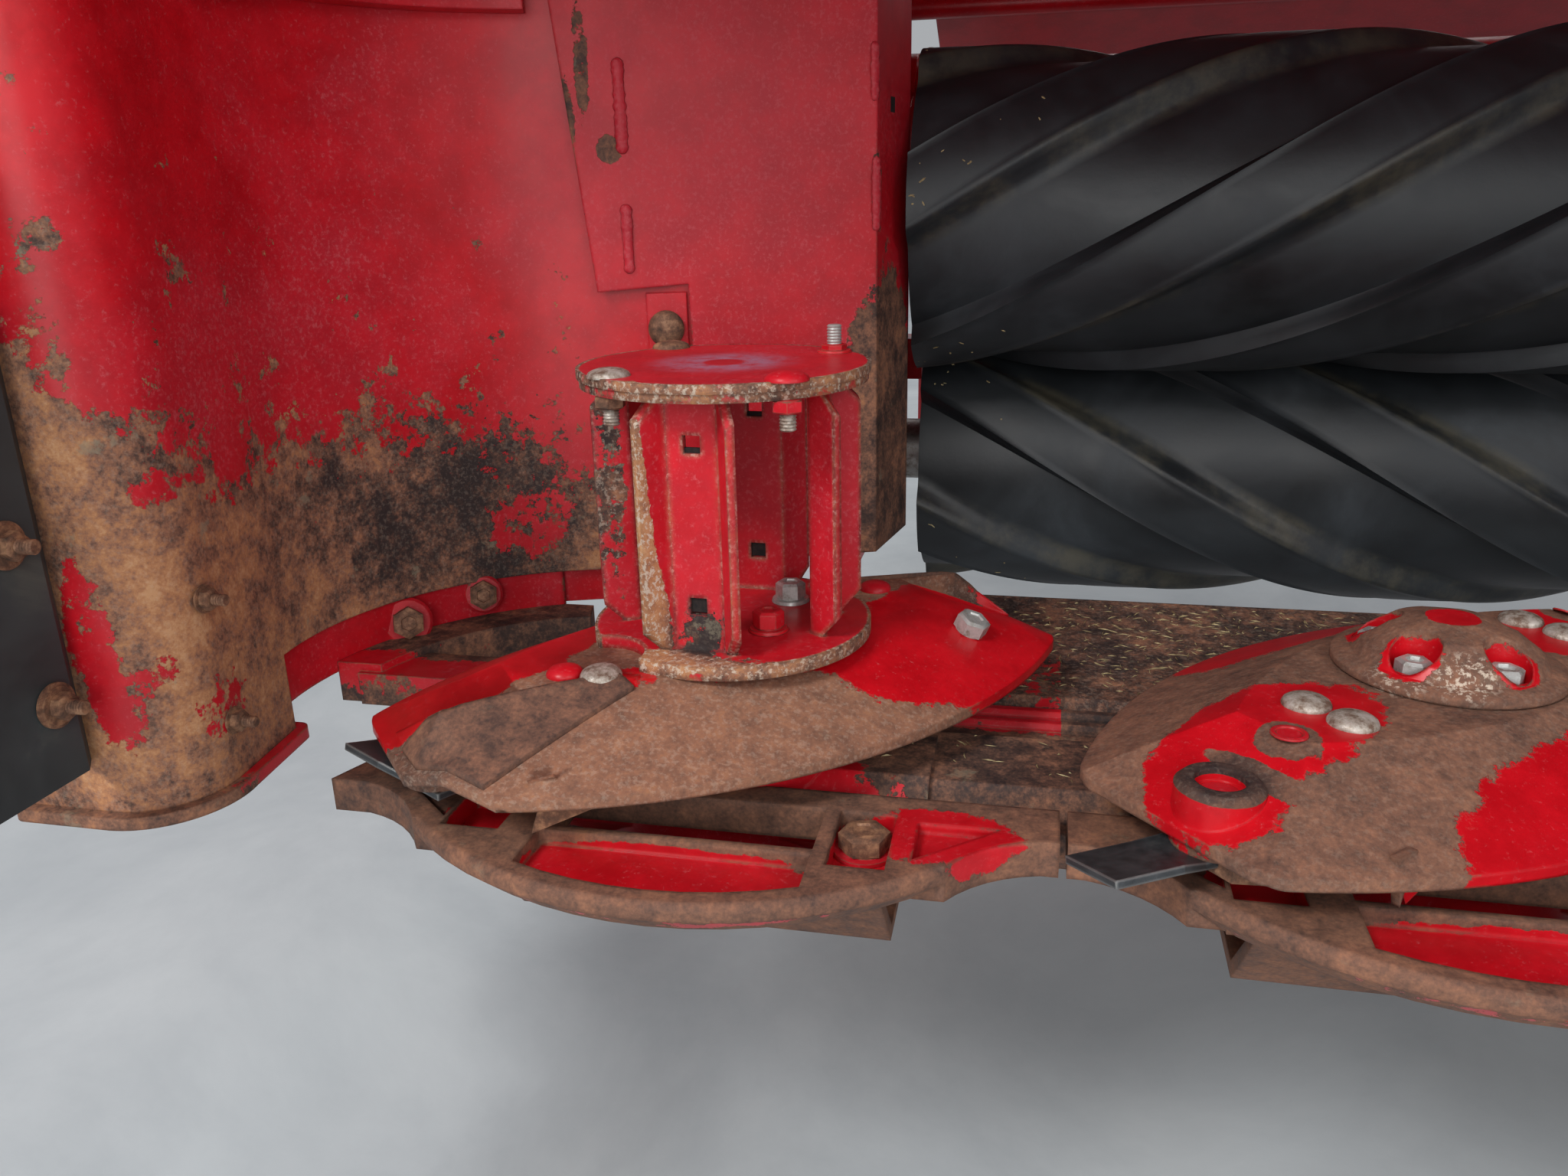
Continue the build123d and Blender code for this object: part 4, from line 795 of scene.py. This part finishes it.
knife_steel, tree, surface, place = new_material("knife_steel")
smear = noise(tree, place, 60, 6, 0.7)
edge_mask = grouped(tree, edges, {"Radius": 0.0022, "Reach": 0.2})
feed(tree, surface, {
    "Base Color": mixed(tree, edge_mask["Mask"], ramp(tree, smear, KNIFE_STOPS), BEVEL),
    "Metallic": 0.6,
    "Roughness": step_between(tree, smear, 0.3, 0.7, 0.38, 0.6),
    "Normal": edge_mask["Normal"],
})
dress(knife_steel, *(f"knives_{index + 1}" for index in range(len(disc_names))))


# Each end disc carries a welded turret: a flanged base, four folded blades and a double top plate. The
# top stays glossy red with a mauve bloom, and rims and flanges are chipped to pale speckled steel.
TURRET_TOP = 0.162
TOP_PLATES = 0.0102
BASE_TOP = 0.0082
RIM_WEAR = (0.0803, 0.0832)
TOP_MAUVES = [
    ((0, 0, TURRET_TOP), (0.040, 0.040, 0.012), 1.1),
    ((0, 0, TURRET_TOP), (0.0125, 0.0125, 0.012), -2.2),
]
BLADE_WEAR = [
    ((0.032, -0.075, 0.125), (0.011, 0.009, 0.050), 0.62),
    ((0.031, -0.073, 0.075), (0.012, 0.010, 0.050), 0.70),
    ((0.027, -0.069, 0.020), (0.015, 0.012, 0.050), 0.85),
    ((0.006, -0.058, 0.012), (0.016, 0.012, 0.024), 0.46),
    ((-0.010, -0.062, 0.026), (0.012, 0.014, 0.018), 0.34),
    ((0.067, -0.021, 0.085), (0.016, 0.014, 0.085), 0.46),
    ((-0.020, -0.075, 0.010), (0.060, 0.016, 0.006), 0.45),
    ((0.020, -0.080, 0.010), (0.050, 0.014, 0.006), 0.55),
]
BLADE_DARKS = [
    ((0.031, -0.073, 0.070), (0.020, 0.020, 0.100), -0.55),
    ((0.004, -0.058, 0.016), (0.022, 0.010, 0.030), 0.75),
    ((0.067, -0.021, 0.085), (0.020, 0.020, 0.095), 0.36),
]
BLADE_PALES = [(centre, size, -amount) for centre, size, amount in BLADE_DARKS]
BLADES = 4
BLADE_HOLES = (0.035, 0.119)
WEB_BACK = 0.0547
TURRET_REST = -4
# place on the plate, radius of the round head or none under a nut, and finish
TOP_BOLTS = (
    (-0.049, -0.056, 0.0118, RUBBED), (0.050, -0.062, 0.0118, PAINTED),
    (-0.051, 0.063, 0.0118, RUSTY), (0.056, 0.046, None, PAINTED),
)
BASE_BOLTS = ((0.029, 0.033, ZINC), (0.027, -0.021, PAINTED))
# near-black colours of the painted shade that fills the bolt holes
HOLE_SHADE_STOPS = ((0.4, 0.004, 0.003, 0.003), (0.7, 0.02, 0.012, 0.010))


def rim_wear(tree, local):
    """How worn the outer rims of the turret's round plates are."""
    x, y, _ = add_node(tree, "ShaderNodeSeparateXYZ", {"Vector": local}).outputs
    flat = add_node(tree, "ShaderNodeCombineXYZ", {0: x, 1: y}).outputs[0]
    return step_between(tree, of_vectors(tree, "LENGTH", flat, output="Value"), *RIM_WEAR, 0.0, 0.62)


turret_paint = worn_red("turret_paint", level=0.05, patches=BLADE_WEAR, edge=0.85, edge_radius=0.0055,
                        fade=0.42, mauves=TOP_MAUVES, dark=0.30, darks=BLADE_DARKS, ochre=0.40, patchy=0.8,
                        pale=0.80, pales=BLADE_PALES, coarse=1.25, fine=1.1, local=mirrored, wear=rim_wear)
dress(turret_paint, "left_turret", "right_turret")
# The bolt holes are filled with thin near-black plates: painted shade that stands for the dark inside of each
# hole.
hole_shade, tree, surface, place = new_material("painted_hole_shade")
feed(tree, surface, {"Base Color": ramp(tree, noise(tree, place, 300), HOLE_SHADE_STOPS), "Roughness": 0.9})
TURRET_FINISHES = FASTENER + [hole_shade]
for side, name in ((1, disc_names[0]), (-1, disc_names[-1])):
    centre = joint_at[name]
    bolts = bmesh.new()
    for x, y, radius, slot in TOP_BOLTS:
        head = facing(centre + Vector((side * x, y, TURRET_TOP)), UP, 15)
        under = facing(centre + Vector((side * x, y, TURRET_TOP - TOP_PLATES)), DOWN, 20)
        if radius:
            carriage_head(bolts, raised(head, -0.0006), radius, 0.0052, slot)
            hex_head(bolts, under, 0.0075, 0.007, RUSTY if slot == RUBBED else PAINTED)
            stud(bolts, raised(under, 0.006), 0.0046, 0.0105, RUBBED)
        else:
            washer(bolts, head, 0.0105, 0.0016, PAINTED, top=0.0100)
            hex_head(bolts, raised(head, 0.0014), 0.0066, 0.0036, PAINTED)
            stud(bolts, raised(head, 0.004), 0.0045, 0.0125, ZINC)
            carriage_head(bolts, under, 0.011, 0.005, PAINTED)
    for x, y, slot in BASE_BOLTS:
        base = facing(centre + Vector((side * x, y, BASE_TOP)), UP, 10)
        washer(bolts, base, 0.0120, 0.0020, slot, top=0.0114)
        hex_head(bolts, raised(base, 0.0020), 0.0082, 0.0105, slot)
    for blade in range(BLADES):
        turned = Matrix.Rotation(math.radians(360 / BLADES * blade + TURRET_REST * side), 4, "Z")
        for height in BLADE_HOLES:
            web = turned @ facing((0, WEB_BACK, height), (0, 1, 0), 45)
            # a thin square of painted shade fills each hole in the blade webs
            washer(bolts, Matrix.Translation(centre) @ web, 0.0070, 0.0018, TURRET_FINISHES.index(hole_shade), 4)
    end = "left" if side > 0 else "right"
    add_piece(f"{end}_turret_bolts", bolts, TURRET_FINISHES, name)


# The end walls are bent sheets that lead the crop round the end discs to the rolls. Soil keeps their
# lower half brown and rusty below a ragged line, and the red above it has faded in clouds.
WALL_FRONT = -0.155
WALL_DEPTH = 0.36
SOIL_LINE = (
    # distance from the wall's front edge and height over the disc's top, both in metres
    (0.000, 0.222), (0.020, 0.205), (0.036, 0.175), (0.080, 0.128), (0.145, 0.120),
    (0.200, 0.117), (0.285, 0.110), (0.315, 0.095), (0.335, 0.075), (0.355, 0.045),
)
LINE_SCALE = 0.4
LINE_FADE = 0.075
WALL_REDS = [
    ((0.335, -0.139, 0.030), (0.017, 0.03, 0.055), -0.58),
    ((0.324, -0.138, -0.022), (0.018, 0.03, 0.034), -0.50),
    ((0.212, 0.170, 0.010), (0.040, 0.04, 0.032), -0.50),
    ((0.304, -0.100, 0.105), (0.012, 0.03, 0.014), -0.50),
    ((0.300, -0.040, 0.110), (0.014, 0.02, 0.018), -0.45),
    ((0.303, -0.090, -0.030), (0.022, 0.03, 0.030), -0.46),
    ((0.310, -0.110, 0.000), (0.014, 0.03, 0.016), -0.46),
    ((0.318, -0.110, 0.170), (0.030, 0.04, 0.026), -0.42),
]
# the wall's rust turns dark brown toward the rear by the turret and more ochre at the nose: partly the rust's
# own colour, partly painted shade at the rear and painted sunlight on the nose
WALL_RUST_SHADE_AND_LIGHT = [
    ((0.270, 0.100, 0.045), (0.070, 0.09, 0.085), 0.50),
    ((0.215, 0.170, 0.030), (0.060, 0.07, 0.090), 0.45),
    ((0.330, -0.120, 0.060), (0.055, 0.11, 0.16), -0.14),
]
WALL_FADES = [
    ((0.300, 0.02, 0.175), (0.12, 0.18, 0.10), 0.16),
    ((0.22, 0.17, 0.30), (0.12, 0.14, 0.14), 0.14),
]
PANEL_RUST = [
    ((-0.055, 0.290, 0.055), (0.045, 0.10, 0.165), 0.95),
    ((-0.045, 0.300, -0.02), (0.05, 0.10, 0.10), 0.5),
    ((0.146, 0.187, 0.345), (0.007, 0.02, 0.060), 0.62),
    ((0.131, 0.190, 0.285), (0.011, 0.02, 0.013), 0.80),
    ((0.158, 0.186, 0.300), (0.007, 0.02, 0.045), 0.60),
    ((-0.052, 0.262, 0.255), (0.006, 0.02, 0.035), 0.60),
]
SHOE_RUST = [((0.34, -0.14, -0.09), (0.10, 0.08, 0.03), 0.7)]
NOSE_BOLTS = ((0.2935, -0.094, 0.036), (0.2945, -0.086, -0.045))
NOSE_WASHER_THICK = 0.0013
ARM_BOSSES = (
    # place from the end disc, the way it faces, its radius and the bolt's half width
    ((0.2840, 0.103, -0.049), (0.55, -0.80, 0.20), 0.0185, 0.0105),
    ((0.2440, 0.151, -0.041), (0.45, -0.86, 0.20), 0.0150, 0.0098),
)
STRAP_BOLT = (0.0995, 0.2055, 0.158)
FOLD_BEADS = (
    # place of the fold, the bead's top and bottom, the way it faces
    ((0.1215, 0.1935), 0.340, 0.286, (0.3, -0.95)), ((0.1215, 0.1935), 0.243, 0.203, (0.3, -0.95)),
    ((-0.0500, 0.2605), 0.350, 0.318, (0.8, -0.6)), ((-0.0510, 0.2608), 0.273, 0.228, (0.8, -0.6)),
)
BEAD_RADIUS = 0.0046
DROP_STEP = 0.0036
SQUARE_HOLE = (-0.0578, 0.298, 0.314)
CLOSING_PLATE = (
    (0.202, 0.186, -0.058), (0.146, 0.205, -0.058), (0.146, 0.205, -0.022), (0.202, 0.186, -0.022),
)
CLOSING_PLATE_THICK = 0.003


def soil_line(tree, local):
    """How far a point lies under the line to which soil wore the wall, as a level of lost paint."""
    _, y, z = add_node(tree, "ShaderNodeSeparateXYZ", {"Vector": local}).outputs
    back = calculate(tree, "DIVIDE", calculate(tree, "SUBTRACT", y, WALL_FRONT), WALL_DEPTH)
    stops = [(distance / WALL_DEPTH, *[height / LINE_SCALE] * 3) for distance, height in SOIL_LINE]
    line = calculate(tree, "MULTIPLY", ramp(tree, back, stops), LINE_SCALE)
    below = calculate(tree, "DIVIDE", calculate(tree, "SUBTRACT", line, z), LINE_FADE)
    low_part = calculate(tree, "MAXIMUM", calculate(tree, "MULTIPLY", below, 0.5), -0.40)
    low_part = calculate(tree, "MINIMUM", low_part, 0.50)
    cloud = noise(tree, moved(tree, local, (4, 4, 4)), 24, 9, 0.72)
    spots = step_between(tree, cloud, 0.580, 0.615, 0.0, 0.66)
    return calculate(tree, "MULTIPLY_ADD", spots, step_between(tree, below, -3.6, -0.2), low_part)


def outward(side, x, y, z):
    """A place from an end disc's centre, with x outward. Side is 1 at the left end and -1 at the right."""
    return Vector((-side * END_DISC_X, joint_at["disc_1"].y, DISC_TOP)) + Vector((-side * x, y, z))


def weld_bead(mesh, start, end, direction, slot):
    """A row of overlapping flat drops, as a welder leaves them."""
    count = int((end - start).length / DROP_STEP)
    for i in range(count + 1):
        drop = BEAD_RADIUS * dice.uniform(0.85, 1.1)
        outline = ((0, -drop * 0.3), (drop, 0), (drop * 0.85, drop * 0.32),
                   (drop * 0.45, drop * 0.55), (0, drop * 0.6))
        spun(mesh, outline, facing(start + (end - start) * i / count, direction), 12, slot)


wall_paint = worn_red("wall_paint", level=0.42, patches=WALL_REDS, edge=0.2, fade=0.26, fades=WALL_FADES,
                      dark=0.20, darks=WALL_RUST_SHADE_AND_LIGHT, ochre=0.40, patchy=1.0, pale=0.12, coarse=1.15, fine=1.5,
                      local=mirrored, wear=soil_line)
dress(wall_paint, "left_wall", "right_wall")
dress(worn_red("panel_paint", level=0.0, patches=PANEL_RUST, edge=0.42, edge_radius=0.003, fade=0.45,
               dark=0.46, ochre=0.40, patchy=0.7, coarse=1.0, local=mirrored),
      "left_rear_panel", "right_rear_panel")
dress(worn_red("end_paint", level=0.10, patches=SHOE_RUST, edge=0.4, edge_radius=0.003, fade=0.3,
               dark=0.35, local=mirrored),
      "left_end_cover", "right_end_cover", "left_nose_shoe", "right_nose_shoe")
chalky = worn_red("chalky_bead", level=0.0, fade=0.95, fine=0.8)
WALL_FINISHES = [zinc, rusty, red_bolt, chalky, hole_shade]
for side, name in ((1, "left"), (-1, "right")):
    bolts = bmesh.new()
    for at in NOSE_BOLTS:
        place = facing(outward(side, *at), (side, -0.03, 0), 8)
        washer(bolts, place, 0.0085, NOSE_WASHER_THICK, RUSTY)
        hex_head(bolts, raised(place, NOSE_WASHER_THICK), 0.0059, 0.0052, RUSTY)
        stud(bolts, raised(place, 0.005), 0.0036, 0.0110, RUSTY)
    carriage_head(bolts, facing(outward(side, *STRAP_BOLT), (0.29 * side, -0.96, 0)), 0.0135, 0.0085, RUSTY)
    for at, way, radius, half_width in ARM_BOSSES:
        place = facing(outward(side, *at), (way[0] * side, way[1], way[2]), 25)
        collar = ((0, -0.010), (radius, -0.010), (radius, 0.004), (radius * 0.88, 0.0062), (0, 0.0062))
        spun(bolts, collar, place, 36, PAINTED)
        hex_head(bolts, raised(place, 0.006), half_width, 0.010, RUSTY)
    for (x, y), top, bottom, (out, back) in FOLD_BEADS:
        weld_bead(bolts, outward(side, x, y, top), outward(side, x, y, bottom), (out * side, back, 0),
                  WALL_FINISHES.index(chalky))
    # a thin square of painted shade fills the square hole
    place = facing(outward(side, *SQUARE_HOLE), (0.99 * side, -0.17, 0), 45)
    washer(bolts, place, 0.0078, 0.0006, WALL_FINISHES.index(hole_shade), 4)
    front = [outward(side, *corner) for corner in CLOSING_PLATE]
    slab(bolts, front, [corner + Vector((0, CLOSING_PLATE_THICK, 0)) for corner in front], PAINTED)
    add_piece(f"{name}_wall_bolts", bolts, WALL_FINISHES, "frame")


# The body above the bar is painted sheet steel and tube, bolted and welded: hood, shield, gate, wings,
# side frames, roll arms and the square cross beam. Crop hardly rubs it, so it keeps most of its red.
body_paint = worn_red("body_paint", level=0.03, edge=0.35, fade=0.30)
dress(body_paint, "hood", "front_shield", "swath_gate", "left_wing", "right_wing", "left_side_frame",
      "right_side_frame", "left_roll_arm", "right_roll_arm", "torque_tube", "top_beam", "top_clevis",
      "gearbox")


# A rubber flap closes the front corner beside each end wall. It hangs on two rusty bolts with wide
# washers, and its cut edge shows the pale ends of its woven ply.
FLAP_BOLTS = ((0.339, -0.166, -0.003), (0.339, -0.174, 0.090))
FLAP_WASHER = ((0, 0), (0.0128, 0), (0.0128, 0.0016), (0.0108, 0.0020), (0.0108, 0.0030), (0, 0.0030))
FLAP_GAP = 0.0003
FLAP_STOPS = ((0.35, 0.022, 0.026, 0.027), (0.60, 0.040, 0.047, 0.048), (0.78, 0.10, 0.105, 0.085))
PLY_STOPS = ((0.3, 0.30, 0.28, 0.24), (0.6, 0.62, 0.60, 0.54))
PLY_END = ((0, 0), (0.0012, 0), (0.0010, 0.0011), (0, 0.0013))
PLY_STEP = 0.0055
PLY_FROM_EDGE = 0.005

flap_rubber, tree, surface, place = new_material("flap_rubber")
dust = noise(tree, place, 9, 7, 0.65, 0.5)
feed(tree, surface, {
    "Base Color": ramp(tree, dust, FLAP_STOPS),
    "Roughness": step_between(tree, dust, 0.3, 0.7, 0.45, 0.7),
})
dress(flap_rubber, "left_flap", "right_flap")
ply = bare_steel("woven_ply", PLY_STOPS, 0.0, (0.9, 0.8))
FLAP_FINISHES = [zinc, rusty, red_bolt, ply]
for side, name in ((1, "left"), (-1, "right")):
    bolts = bmesh.new()
    for x, y, z in FLAP_BOLTS:
        place = facing(outward(side, x - FLAP_GAP, y, z), (side, 0, 0), 15)
        spun(bolts, FLAP_WASHER, place, 28, RUSTY)
        hex_head(bolts, raised(place, 0.0030), 0.0070, 0.0065, RUSTY)
        stud(bolts, raised(place, 0.009), 0.0042, 0.0115, RUSTY)
    low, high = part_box(f"{name}_flap")
    for i in range(int((high[1] - low[1] - 2 * PLY_FROM_EDGE) / PLY_STEP)):
        end = Vector(((low[0] + high[0]) / 2, low[1] + PLY_FROM_EDGE + i * PLY_STEP, low[2] + 0.0002))
        spun(bolts, PLY_END, facing(end, DOWN), 6, FLAP_FINISHES.index(ply))
    add_piece(f"{name}_flap_bolts", bolts, FLAP_FINISHES, "frame")


# The conditioning rolls are moulded rubber on a steel core. Five round-backed lugs wind round each half,
# steep on one side and sloping on the other, and the slopes carry ochre straw dust mixed with painted light.
ROLL_RADIUS = 0.132
ROOT_RADIUS = 0.116
CORE_RADIUS = 0.0301
LUGS = 5
LUG_TIP, LUG_STEP, LUG_RAMP = 24, 3, 9
LUG_CROWN = 0.0012
TWIST_PER_METRE = 263
ROLL_SECTIONS = 110
LUG_ANGLES = (-3, -2.4, -1.6, -0.8, -0.2, 0.8, 3, 8, 13, 18, 21, 23, 24.5, 26, 28, 30.5, 33, 37, 43,
              50, 57, 63, 67)
ROLLS = (("upper_roll", 1, 16.3), ("lower_roll", -1, 34.2))
ROLL_STOPS = ((0.32, 0.0075, 0.0085, 0.0095), (0.55, 0.016, 0.019, 0.022), (0.75, 0.034, 0.040, 0.046))
SLOPE_DUST_AND_LIGHT = (0.085, 0.075, 0.050, 1)
FLECKS = 120
FLECK_REACH = 0.10


def lug_radius(angle):
    """The roll's radius at an angle from the start of a lug's back, in degrees."""
    def smooth(share):
        share = min(max(share, 0.0), 1.0)
        return share * share * (3 - 2 * share)
    rise = smooth((angle + LUG_STEP) / LUG_STEP) * (1 - smooth((angle - LUG_TIP) / LUG_RAMP))
    crown = LUG_CROWN * (2 * angle / LUG_TIP - 1) ** 2 if 0 < angle < LUG_TIP else 0
    return ROOT_RADIUS + (ROLL_RADIUS - ROOT_RADIUS) * rise - crown


def roll_rubber(name):
    """Black rubber with a blue-grey bloom; the slopes of the lugs, marked in the mesh, carry dust and painted
    light.
    """
    material, tree, surface, place = new_material(name)
    bloom = noise(tree, place, 7, 8, 0.65, 0.6)
    slope = add_node(tree, "ShaderNodeAttribute", attribute_name="slope").outputs["Fac"]
    # the ochre on the marked slopes is partly straw dust and partly painted light, as if every slope faced
    # the lamps
    dust_and_light = calculate(tree, "MULTIPLY", slope, step_between(tree, noise(tree, place, 16, 7, 0.7), 0.40, 0.66))
    dust_and_light = calculate(tree, "MULTIPLY", dust_and_light, 0.6)
    pores = noise(tree, place, 300, 4, 0.7)
    scuff = calculate(tree, "MULTIPLY_ADD", pores, 0.4, noise(tree, place, 40, 5))
    bump = {"Height": scuff, "Distance": 0.0006, "Strength": 0.35}
    feed(tree, surface, {
        "Base Color": mixed(tree, dust_and_light, ramp(tree, bloom, ROLL_STOPS), SLOPE_DUST_AND_LIGHT),
        "Roughness": step_between(tree, bloom, 0.3, 0.7, 0.40, 0.58),
        "Specular IOR Level": 0.45,
        "Normal": add_node(tree, "ShaderNodeBump", bump).outputs[0],
    })
    return material


def joined(mesh, ring, other):
    """Faces between two rings of as many points."""
    for i in range(len(ring)):
        j = (i + 1) % len(ring)
        mesh.faces.new((ring[i], ring[j], other[j], other[i]))


rubber = roll_rubber("roll_rubber")
for name, hand, phase in ROLLS:
    low, high = (Vector(corner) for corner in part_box(name))
    axis = (low + high) / 2
    half = (high.x - low.x) / 2
    spots = [(angle + 360 / LUGS * lug - LUG_TIP / 2, angle) for lug in range(LUGS) for angle in LUG_ANGLES]

    def turn_at(place_angle, x):
        """How far round the roll a point of a lug has wound at a distance from the roll's middle."""
        return math.radians(phase + hand * (place_angle + TWIST_PER_METRE * abs(x)))

    mesh = bmesh.new()
    mark = mesh.verts.layers.float.new("slope")
    rings = []
    for section in range(-ROLL_SECTIONS, ROLL_SECTIONS + 1):
        x = half * section / ROLL_SECTIONS
        ring = []
        for place_angle, lug_angle in spots:
            turn = turn_at(place_angle, x)
            radius = lug_radius(lug_angle)
            point = mesh.verts.new(axis + Vector((x, radius * math.sin(turn), -radius * math.cos(turn))))
            point[mark] = 1.0 if LUG_TIP < lug_angle < LUG_TIP + LUG_RAMP + 3 else 0.0
            ring.append(point)
        rings.append(ring)
    for before, after in zip(rings, rings[1:]):
        joined(mesh, before, after)
    for ring in (rings[0], rings[-1]):
        x = ring[0].co.x
        inner = []
        for place_angle, _ in spots:
            turn = turn_at(place_angle, half)
            y, z = axis.y + CORE_RADIUS * math.sin(turn), axis.z - CORE_RADIUS * math.cos(turn)
            inner.append(mesh.verts.new((x, y, z)))
        joined(mesh, ring, inner)
        rings.append(inner)
    joined(mesh, rings[-2], rings[-1])
    piece = add_piece(f"{name}_cover", mesh, [rubber], name, sharp=55)
    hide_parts(name)
    flecks = bmesh.new()
    for _ in range(FLECKS):
        x = dice.choice((-1, 1)) * (half - 0.004 - FLECK_REACH * dice.random() ** 2.2)
        lug, start = dice.randrange(LUGS), dice.uniform(4, 20)
        turn = turn_at(start + 360 / LUGS * lug - LUG_TIP / 2, x)
        normal = Vector((0, math.sin(turn), -math.cos(turn)))
        at = axis + Vector((x, 0, 0)) + normal * (lug_radius(start) + 0.0001)
        size = dice.uniform(0.0004, 0.0010)
        lie = facing(at, normal, dice.uniform(0, 180)) @ Matrix.Diagonal((dice.uniform(1, 4), 1, 0.5, 1))
        spun(flecks, ((0, 0), (size, 0), (size * 0.6, size * 0.7), (0, size * 0.8)), lie, 5)
    add_piece(f"{name}_flecks", flecks, [straw], name)


# The roll shafts and the input shaft are turned steel without paint, dull from the weather. The lower
# shaft runs in the side frames, the upper one in the roll arms and the input shaft in the gearbox.
SHAFT_STOPS = ((0.35, 0.20, 0.17, 0.14), (0.55, 0.38, 0.37, 0.35))
dress(bare_steel("turned_steel", SHAFT_STOPS, 0.85, (0.5, 0.35)), "upper_shaft", "lower_shaft", "input_shaft")
